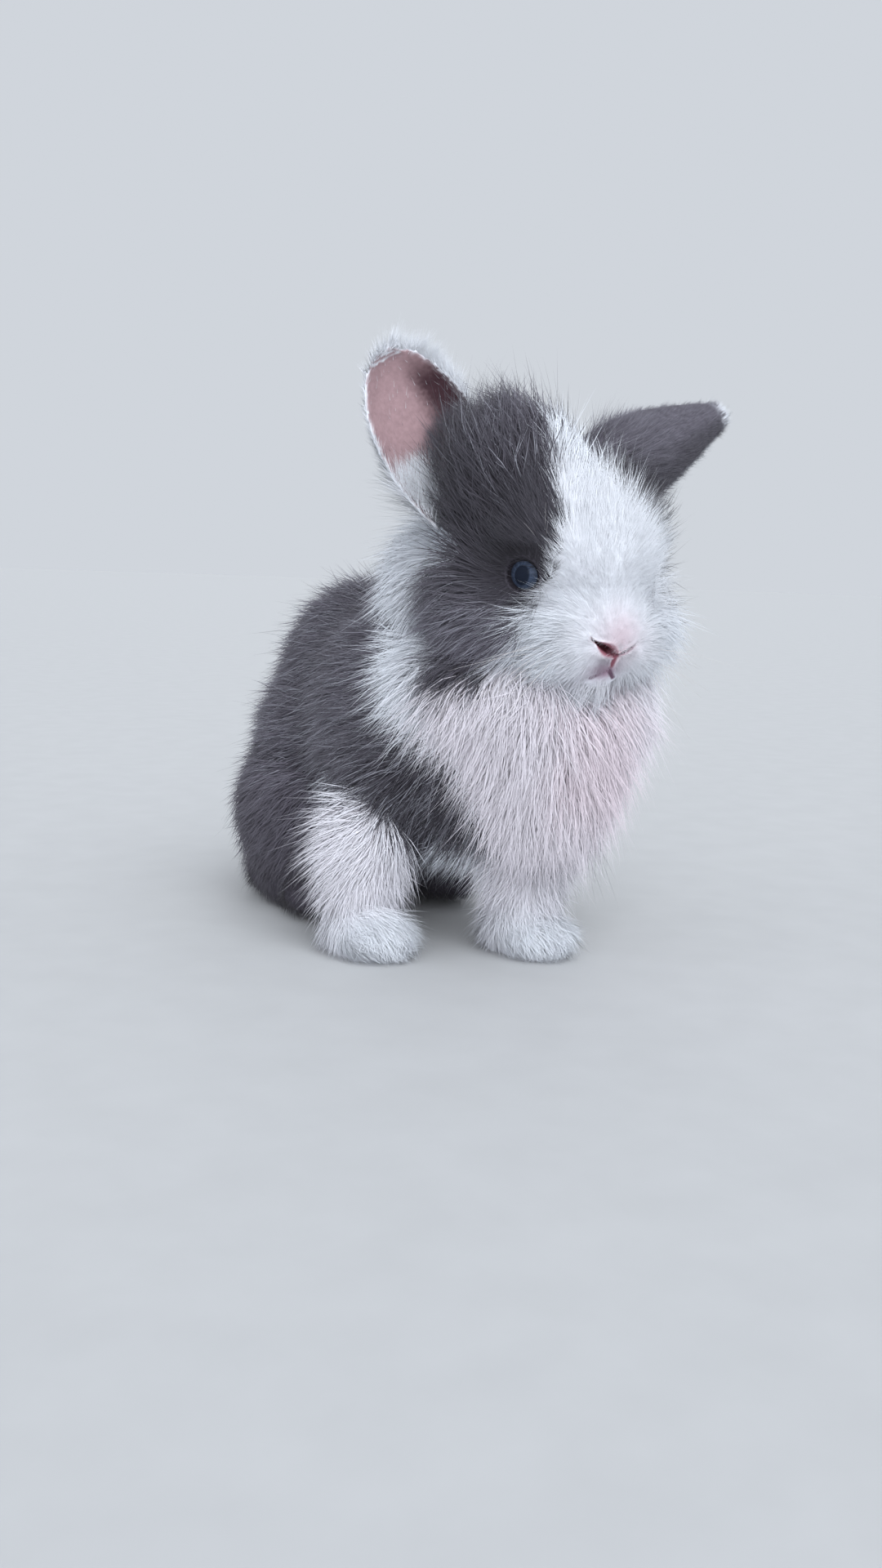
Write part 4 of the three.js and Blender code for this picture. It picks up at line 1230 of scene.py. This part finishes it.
def sow(pelt, amount, rng):
    """Roots spread over the skin: each triangle gets its share of area times density, laid off evenly with a
    random start. Gives a function that reads a map at the roots, and their number."""
    tri = pelt.triangles
    a, b, c = (pelt.p[tri[:, k]] for k in range(3))
    area = np.linalg.norm(np.cross(b - a, c - a), axis=-1) / 2
    wanted = np.cumsum(area * pelt.density[tri].mean(1) * amount)
    total = int(wanted[-1])
    marks = (np.arange(total) + rng.uniform(0, 1, total)) * wanted[-1] / max(total, 1)
    face = np.searchsorted(wanted, marks).clip(0, len(tri) - 1)
    s, t = rng.uniform(0, 1, (2, total))
    over = s + t > 1
    s, t = np.where(over, 1 - s, s), np.where(over, 1 - t, t)
    share = np.stack([1 - s - t, s, t], -1)
    corner = tri[face]

    def at(values):
        """A map's values at the roots, mixed from the triangle's corners."""
        picked = values[corner]
        return (picked * share.reshape(total, 3, *([1] * (picked.ndim - 2)))).sum(1)

    return at, total


def tuft_faces(rows):
    """Triangles of one closed three-sided blade: a cap at the root, rings of sides, and a fan on the tip."""
    faces = [[0, 1, 2]]
    for r in range(rows - 1):
        for k in range(3):
            a, b = r * 3 + k, r * 3 + (k + 1) % 3
            faces += [[b, a, a + 3], [b + 3, b, a + 3]]
    last = (rows - 1) * 3
    faces += [[last + (k + 1) % 3, last + k, rows * 3] for k in range(3)]
    return np.array(faces)


def tuft_mesh(root, normal, facing, lie, length, height, width, sway, roll, steps):
    """Closed three-sided blades: root + lie * length * t^run + normal * height * (1 - (1 - t)^rise) + sway *
    t^2, drawn to a point. They are shaded mostly by the skin's own direction, as fine hair is that lets light
    through."""
    count = len(root)
    t = np.array(steps)[None, :, None]
    path = root[:, None] + lie[:, None] * (length[:, None, None] * t**RUN_POWER)
    path = path + normal[:, None] * (height[:, None, None] * (1 - (1 - t) ** RISE_POWER)) + sway[:, None] * t**2
    path[:, 0] -= normal * ROOT_DEPTH
    path[..., 2] = np.maximum(path[..., 2], LOWEST_TUFT)
    along = unit(np.gradient(path, axis=1))
    flat = unit(np.cross(along, normal[:, None]))
    raised = np.cross(flat, along)
    c, s = np.cos(roll)[:, None, None], np.sin(roll)[:, None, None]
    flat, raised = flat * c + raised * s, raised * c - flat * s
    rows = len(steps) - 1
    size = (width[:, None] * np.interp(steps, *TAPER)[None])[..., None]
    ring = np.stack([path - flat * size / 2, path + flat * size / 2, path + raised * size * 0.5], 2)[:, :rows]
    points = np.concatenate([ring.reshape(count, rows * 3, 3), path[:, -1:]], 1)
    skin, sideways, back = facing[:, None], flat * SIDE_SHADING, raised * BACK_SHADING
    shading = np.stack([skin - sideways, skin + sideways, skin + back], 2)[:, :rows]
    tip = skin + along[:, -1:] * TIP_SHADING
    shading = unit(np.concatenate([shading.reshape(count, rows * 3, 3), tip], 1))
    per = rows * 3 + 1
    faces = (tuft_faces(rows)[None] + np.arange(count)[:, None, None] * per).reshape(-1, 3)
    share = np.concatenate([np.repeat(np.array(steps)[:rows], 3), [1.0]])
    return points.reshape(-1, 3), faces, share, per, shading.reshape(-1, 3)


def chart(kind, p, q, ears):
    """Where a root lies on an unwrap of its part: turn and height round a limb, across and up an ear, and
    longitude and latitude on a rounded part."""
    if kind in ears:
        course, margin, back, _ = ears[kind]
        u = np.where(back > 0, 0.25 + 0.24 * margin, 0.75 + 0.24 * margin)
        return np.stack([u, course], -1)
    d = q - HEAD_MIDDLE if kind == "head" else p - p.mean(0)
    if kind == "limb":
        return np.stack([np.arctan2(d[:, 1], d[:, 0]) / (2 * math.pi), d[:, 2]], -1)
    return np.stack([np.arctan2(d[:, 0], -d[:, 1]) / (2 * math.pi), np.arccos(unit(d)[:, 2]) / math.pi], -1)


def bake_places(where, share, per):
    """A patch for each tuft at its root's place on the map, running from root to tip."""
    low, high = where.min(0), where.max(0)
    base = MAP_EDGE + MAP_SPAN * (where - low) / np.maximum(high - low, 1e-9)
    base = base.clip(MAP_EDGE, 1 - MAP_EDGE)
    across = np.concatenate([np.tile([-1, 1, 0], (per - 1) // 3), [0]])
    patch = np.stack([across * PATCH / 2, (share - 0.5) * PATCH], -1)
    return (base[:, None] + patch[None]).reshape(-1, 2)


def tuft_colours(grey, pink_reflection_and_blush, shade, tone, frost, lip_fur, share, coat, rng):
    """Each tuft is slate or white by the markings' share at its root. Slate goes from dark roots to silvery
    ends, with a lightness of its own, darker in the painted shade round the eyes; white takes on the pink
    tint, which is painted reflected light and the skin's own pink round the nose, and the lips' tint."""
    count = len(grey)
    slate = (rng.uniform(0, 1, count) < ease(0.12, 0.88, grey))[:, None, None]
    own = np.exp(rng.normal(0, 0.16, count))[:, None, None]
    silver = rng.beta(1.2, 2.2, count)[:, None, None]
    t = share[None, :, None]
    low, mid, tip = (np.array(c)[None, None] for c in (coat.slate_root, coat.slate, coat.slate_tip))
    dark = low + (mid - low) * ease(0.0, 0.55, t) + (tip - mid) * ease(0.5, 1.0, t) * silver
    # The slate is darkened by the painted shade round the eyes.
    dark = dark * own * (1 - 0.5 * shade[:, None, None]) * tone[:, None, None]
    frosted = (rng.uniform(0, 1, count) < frost)[:, None, None]
    rime = frosted * rng.uniform(0.3, 0.9, count)[:, None, None] * ease(0.0, 0.6, t)
    dark = dark + rime * (FROST_HUE - dark)
    pale, white = np.array(coat.white_root)[None, None], np.array(coat.white)[None, None]
    light = pale + (white - pale) * ease(0.0, 0.5, t)
    light = light * (1 + 0.05 * (own - 1)) * (1 - 0.06 * rng.uniform(0, 1, count)[:, None, None])
    # The pink tint: painted reflected light from below, and the skin's own pink round the nose.
    light = light + pink_reflection_and_blush[:, None, None] * 0.75 * (np.array(coat.pink_reflection_and_blush) - light)
    light = light + 0.9 * lip_fur[:, None, None] * (LIP_FUR_HUE - light)
    return np.where(slate, dark, light).reshape(-1, 3)


# Name, region, unwrap, steps of a tuft, and the test that picks its roots among the region's.
PIECES = (
    ("coat_nose", "head", "head", SHORT_STEPS, lambda r: r.nose),
    ("coat_face_right", "head", "head", SHORT_STEPS, lambda r: ~r.nose & r.right_face & r.front & ~r.low),
    ("coat_face_left", "head", "head", SHORT_STEPS, lambda r: ~r.nose & ~r.right_face & r.front & ~r.low),
    ("coat_muzzle_right", "head", "head", LONG_STEPS, lambda r: ~r.nose & r.right_face & r.front & r.low),
    ("coat_muzzle_left", "head", "head", LONG_STEPS, lambda r: ~r.nose & ~r.right_face & r.front & r.low),
    ("coat_cheek_right", "head", "head", LONG_STEPS, lambda r: r.right_face & ~r.front & ~r.top),
    ("coat_cheek_left", "head", "head", LONG_STEPS, lambda r: ~r.right_face & ~r.front & ~r.top),
    ("coat_crown", "head", "head", LONG_STEPS, lambda r: ~r.front & r.top),
    ("mane_bib_right", "neck", "round", LONG_STEPS, lambda r: r.right_neck & r.bib),
    ("mane_bib_left", "neck", "round", LONG_STEPS, lambda r: ~r.right_neck & r.bib),
    ("mane_nape_right", "neck", "round", LONG_STEPS, lambda r: r.right_neck & ~r.bib),
    ("mane_nape_left", "neck", "round", LONG_STEPS, lambda r: ~r.right_neck & ~r.bib),
    ("coat_shoulder_right", "torso", "round", LONG_STEPS, lambda r: r.right_trunk & r.shoulder),
    ("coat_shoulder_left", "torso", "round", LONG_STEPS, lambda r: ~r.right_trunk & r.shoulder),
    ("coat_rump_right", "torso", "round", LONG_STEPS, lambda r: r.right_trunk & ~r.shoulder),
    ("coat_rump_left", "torso", "round", LONG_STEPS, lambda r: ~r.right_trunk & ~r.shoulder),
    ("coat_foreleg_right", "leg_right", "limb", LONG_STEPS, None),
    ("coat_foreleg_left", "leg_left", "limb", LONG_STEPS, None),
    ("coat_forepaw_right", "paw_right", "limb", LONG_STEPS, None),
    ("coat_forepaw_left", "paw_left", "limb", LONG_STEPS, None),
    ("coat_thigh_right", "thigh_right", "round", LONG_STEPS, None),
    ("coat_thigh_left", "thigh_left", "round", LONG_STEPS, None),
    ("coat_hindfoot_right", "foot_right", "limb", SHORT_STEPS, None),
    ("coat_hindfoot_left", "foot_left", "limb", SHORT_STEPS, None),
    ("coat_tail", "tail", "round", LONG_STEPS, None),
    ("coat_ear_right", "ear_right", "right", SHORT_STEPS, None),
    ("coat_ear_left", "ear_left", "left", SHORT_STEPS, None),
)


class Roots:
    """The sown roots with their maps, and on which side of the cuts between the coat's pieces they stand."""

    def __init__(self, pelt, amount, rng):
        at, self.count = sow(pelt, amount, rng)
        self.p, self.n, self.lie = at(pelt.p), unit(at(pelt.n)), unit(at(pelt.lie))
        self.facing = unit(at(pelt.facing))
        self.q = to_head(self.p)
        self.region = at(pelt.share).argmax(1)
        self.length, self.height, self.width = at(pelt.length), at(pelt.height), at(pelt.width)
        self.grey, self.tints = at(pelt.grey), [at(m) for m in (pelt.pink_reflection_and_blush, pelt.shade, pelt.tone)]
        self.tints += [at(pelt.frost), at(pelt.lip_fur)]
        self.ear = {side: tuple(at(m) for m in maps) for side, maps in pelt.ear.items()}
        self.nose = np.linalg.norm(self.q - NOSE, axis=-1) < 14
        self.right_face, self.front = self.q[:, 0] < 0, self.q[:, 1] < -6
        self.low, self.top = self.q[:, 2] <= -5, self.q[:, 2] >= 14
        self.right_neck, self.bib = self.p[:, 0] < 12, self.p[:, 1] < -2
        self.right_trunk, self.shoulder = self.p[:, 0] < 1, self.p[:, 1] < 45


class RABBIT_OT_coat(bpy.types.Operator):
    """Covers the skin with tapered tufts that follow the lie of the coat and carry its markings"""

    bl_idname = "rabbit.coat"
    bl_label = "Coat"

    def execute(self, context):
        if "skin" not in PELT:
            raise RuntimeError("the skin comes before the coat")
        coat = context.scene.rabbit_coat
        rng = np.random.default_rng(SEED)
        roots = Roots(PELT["skin"], coat.thickness * (1), rng)
        hair = hue_material("coat", 0.85, 0.12, 300.0, 0.08, sheen=0.12)
        total = 0
        for name, region, kind, steps, test in PIECES:
            picked = roots.region == REGIONS.index(region)
            if test is not None:
                picked &= test(roots)
            total += self.piece(name, roots, np.flatnonzero(picked), kind, steps, coat, hair, rng)
        print("coat triangles", total)
        return {"FINISHED"}

    def piece(self, name, roots, pick, kind, steps, coat, hair, rng):
        """One joined mesh of tufts, each with its own share of length, height, width, lean and sway."""
        count = len(pick)
        if count < FEWEST_TUFTS:
            raise RuntimeError("no roots for " + name)
        mane = name.startswith("mane")
        share = coat.mane_length if mane else coat.coat_length
        deep, drifting, tossing = MANE_SHAPE if mane else COAT_SHAPE
        length = roots.length[pick] * share * rng.uniform(0.7, 1.2, count)
        short = ease(9, 4, length)
        height = roots.height[pick] * share * (1 - (deep - 0.5 * deep * short) * rng.uniform(0, 1, count) ** 0.8)
        width = roots.width[pick] * rng.uniform(0.75, 1.2, count)
        lie = unit(roots.lie[pick] + (0.22 - 0.08 * short)[:, None] * rng.normal(size=(count, 3)))
        sway = drifting * length[:, None] * drift(roots.p[pick], 3.2, SEED + 7)
        sway = sway + tossing * length[:, None] * rng.normal(size=(count, 3))
        sway[:, 2] -= 0.12 * length * ease(6, 14, length)
        stray = rng.uniform(0, 1, count) < STRAY_SHARE
        length, width, height = length * (1 + 0.3 * stray), width * (1 - 0.5 * stray), height * (1 + 0.3 * stray)
        roll = rng.uniform(-0.6, 0.6, count)
        place = (roots.p[pick], roots.n[pick], roots.facing[pick], lie)
        points, faces, along, per, shading = tuft_mesh(*place, length, height, width, sway, roll, steps)
        ears = {side: tuple(m[pick] for m in maps) for side, maps in roots.ear.items()}
        places = bake_places(chart(kind, roots.p[pick], roots.q[pick], ears), along, per)
        hue = tuft_colours(roots.grey[pick], *(m[pick] for m in roots.tints), along, coat, rng)
        piece = put_mesh(name, points, faces, hue, places, shading)
        piece.data.materials.append(hair)
        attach(piece, "root")
        if len(faces) >= MOST_TRIANGLES:
            raise RuntimeError(f"{name} has {len(faces)} triangles")
        print(name, count, "tufts", len(faces), "triangles")
        return len(faces)


WHISKER_HUE = np.array([0.62, 0.6, 0.6])
WHISKER_THICKNESS = 0.11  # at the root
BROW_THICKNESS = 0.08
BROW_LENGTHS = (14, 17, 12)
HAIR_STEPS, HAIR_SIDES = 10, 5
HAIR_SAG = 0.16


class RABBIT_OT_whiskers(bpy.types.Operator):
    """Sets long thin whiskers in both pads and over the eyes"""

    bl_idname = "rabbit.whiskers"
    bl_label = "Whiskers"

    def execute(self, context):
        count = context.scene.rabbit_face.whiskers
        rng = np.random.default_rng(SEED + 3)
        row = np.arange(count)
        shells = []
        for side in (1, -1):
            root = np.stack([side * (8.5 + 0.5 * (row % 4)), -27.0 + 1.3 * (row % 4), -11.5 - 1.4 * (row // 4)], -1)
            across, back = side * rng.uniform(0.7, 1.0, count), rng.uniform(-0.35, 0.25, count)
            aim = unit(np.stack([across, back, rng.uniform(-0.75, 0.1, count)], -1))
            shells += self.hairs(root, aim, rng.uniform(22, 36, count), WHISKER_THICKNESS)
            back, rise = rng.uniform(0, 1, 3), rng.uniform(0, 1.5, 3)
            root = np.stack([np.full(3, side * 15.0), -14 - back, 9 + rise], -1)
            across, back = side * rng.uniform(0.3, 0.8, 3), rng.uniform(-0.6, 0, 3)
            aim = unit(np.stack([across, back, rng.uniform(0.6, 1, 3)], -1))
            shells += self.hairs(root, aim, BROW_LENGTHS, BROW_THICKNESS)
        points, faces = join_shells(shells)
        piece = put_mesh("whiskers", points, faces, np.tile(WHISKER_HUE, (len(points), 1)))
        piece.data.materials.append(hue_material("whisker", 0.4, 0.4, 2000.0, 0.06))
        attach(piece, "root")
        return {"FINISHED"}

    def hairs(self, roots, aims, lengths, thick):
        """A hair for each root, aim and length, given in the head's axes."""
        return [self.hair(from_head(r), a @ HEAD_AXES.T, long, thick) for r, a, long in zip(roots, aims, lengths)]

    def hair(self, root, aim, long, thick):
        """A tapered tube along root + aim * long * t, sagging by t^2, its root 2 mm deep."""
        t = np.linspace(0, 1, HAIR_STEPS)[:, None]
        line = root - aim * 2 + aim * (long + 2) * t + np.array([0, 0, -HAIR_SAG * long]) * t**2
        along = unit(np.gradient(line, axis=0))
        across = unit(np.cross(along, [0.1, 0.2, 1.0]))
        other = np.cross(along, across)
        v = np.arange(HAIR_SIDES) * 2 * math.pi / HAIR_SIDES
        size = thick * (1 - 0.85 * t)[:, :, None]
        round_it = across[:, None] * np.cos(v)[None, :, None] + other[:, None] * np.sin(v)[None, :, None]
        ring = line[:, None] + size * round_it
        faces = capped_faces(HAIR_STEPS, HAIR_SIDES)[:, ::-1]
        return np.vstack([ring.reshape(-1, 3), line[:1], line[-1:]]), faces


# Stage.

CAMERA_PLACE = np.array([-231.9, -315.0, 107.0])
CAMERA_HEADING = math.radians(35)
CAMERA_PITCH = math.radians(8.65)
CAMERA_ROLL = math.radians(1.9)
SENSOR_WIDTH = 36
NEAREST, FURTHEST = 0.01, 100  # what the camera sees, in metres
FLOOR_HALF = 3e4
FLOOR_DROP = 0.05
LIGHT_ANGLE = math.radians(50)
LIGHT_DISTANCE = 2  # in metres
WORLD_COLOUR = (0.63, 0.665, 0.715, 1)

# Lights: name, direction that it comes from, the setting that gives its power, its share of that, and its
# colour.
LIGHTS = (
    ("key", (-0.12, -0.8, 0.85), "key_power", 1, (0.93, 0.97, 1.0)),
    ("fill", (-0.95, -0.1, 0.5), "fill_power", 0.4, (0.95, 0.97, 1.0)),
    ("back", (0.5, 0.8, 0.7), "fill_power", 1, (0.97, 0.98, 1.0)),
    ("front", (-0.6, -0.8, 0.15), "fill_power", 4.6, (0.97, 0.97, 1.0)),
)


class RABBIT_OT_stage(bpy.types.Operator):
    """Lays the pale floor, sets soft light and places the camera"""

    bl_idname = "rabbit.stage"
    bl_label = "Stage"

    def execute(self, context):
        stage = context.scene.rabbit_stage
        self.floor(stage)
        for name, place, setting, share, colour in LIGHTS:
            self.light(name, place, getattr(stage, setting) * share, colour)
        world = bpy.data.worlds.new("studio")
        world.use_nodes = True
        background = world.node_tree.nodes["Background"]
        background.inputs["Color"].default_value = WORLD_COLOUR
        background.inputs["Strength"].default_value = 1.0
        context.scene.world = world
        context.scene.view_settings.view_transform = "Standard"
        self.camera(context, stage)
        return {"FINISHED"}

    def floor(self, stage):
        """A flat square below the feet."""
        half, corners = FLOOR_HALF, ((-1, -1), (1, -1), (1, 1), (-1, 1))
        points = np.array([(x * half, y * half, -FLOOR_DROP) for x, y in corners], float)
        floor = put_mesh("floor", points, np.array([[0, 1, 2], [0, 2, 3]]), np.tile(np.array(stage.floor), (4, 1)))
        floor.data.materials.append(hue_material("floor", 0.7, 0.2, 60.0, 0.02))

    def light(self, name, place, power, colour):
        """A wide, distant light that shines from a direction, the same all over the floor."""
        data = bpy.data.lights.new(name, "SUN")
        data.angle, data.energy, data.color = LIGHT_ANGLE, power, colour
        lamp = bpy.data.objects.new(name, data)
        back = unit(np.array(place, float))
        right = unit(np.cross([0, 0, 1.0], back))
        axes = np.stack([right, np.cross(back, right), back], -1)
        lamp.matrix_world = Matrix.Translation(back * LIGHT_DISTANCE) @ Matrix(axes.tolist()).to_4x4()
        bpy.context.scene.collection.objects.link(lamp)

    def camera(self, context, stage):
        """The photograph's view: heading, pitch and roll turned into the camera's own axes."""
        data = bpy.data.cameras.new("camera")
        data.lens = stage.lens
        data.sensor_width = SENSOR_WIDTH
        data.clip_start, data.clip_end = NEAREST, FURTHEST
        heading, pitch = CAMERA_HEADING, CAMERA_PITCH
        level = math.cos(pitch)
        look = np.array([math.sin(heading) * level, math.cos(heading) * level, -math.sin(pitch)])
        right = np.array([math.cos(heading), -math.sin(heading), 0])
        up = np.cross(right, look)
        c, s = math.cos(CAMERA_ROLL), math.sin(CAMERA_ROLL)
        axes = np.stack([right * c + up * s, up * c - right * s, -look], -1)
        camera = bpy.data.objects.new("camera", data)
        camera.matrix_world = Matrix.Translation(to_frame(CAMERA_PLACE)) @ Matrix(axes.tolist()).to_4x4()
        context.scene.collection.objects.link(camera)
        context.scene.camera = camera


class RABBIT_PT_panel(bpy.types.Panel):
    """Lists the rabbit's pieces and their settings"""

    bl_idname = "RABBIT_PT_panel"
    bl_label = "Lionhead rabbit kit"
    bl_space_type = "VIEW_3D"
    bl_region_type = "UI"
    bl_category = "Rabbit"

    def draw(self, context):
        layout = self.layout
        for group in ("rabbit_coat", "rabbit_face", "rabbit_stage"):
            settings = getattr(context.scene, group)
            box = layout.box()
            for prop in settings.bl_rna.properties:
                if prop.identifier not in ("rna_type", "name"):
                    box.prop(settings, prop.identifier)
        for operator in STEPS:
            layout.operator(operator.bl_idname)


STEPS = (RABBIT_OT_skin, RABBIT_OT_eyes, RABBIT_OT_coat, RABBIT_OT_whiskers, RABBIT_OT_stage)
GROUPS = (("rabbit_coat", RabbitCoat), ("rabbit_face", RabbitFace), ("rabbit_stage", RabbitStage))


def register():
    for name, group in GROUPS:
        bpy.utils.register_class(group)
        setattr(bpy.types.Scene, name, PointerProperty(type=group))
    for step in STEPS:
        bpy.utils.register_class(step)
    bpy.utils.register_class(RABBIT_PT_panel)


def unregister():
    bpy.utils.unregister_class(RABBIT_PT_panel)
    for step in reversed(STEPS):
        bpy.utils.unregister_class(step)
    for name, group in reversed(GROUPS):
        delattr(bpy.types.Scene, name)
        bpy.utils.unregister_class(group)


def main():
    register()
    bpy.ops.rabbit.skin()
    bpy.ops.rabbit.eyes()
    bpy.ops.rabbit.coat()
    bpy.ops.rabbit.whiskers()
    bpy.ops.rabbit.stage()


if __name__ == "__main__":
    main()
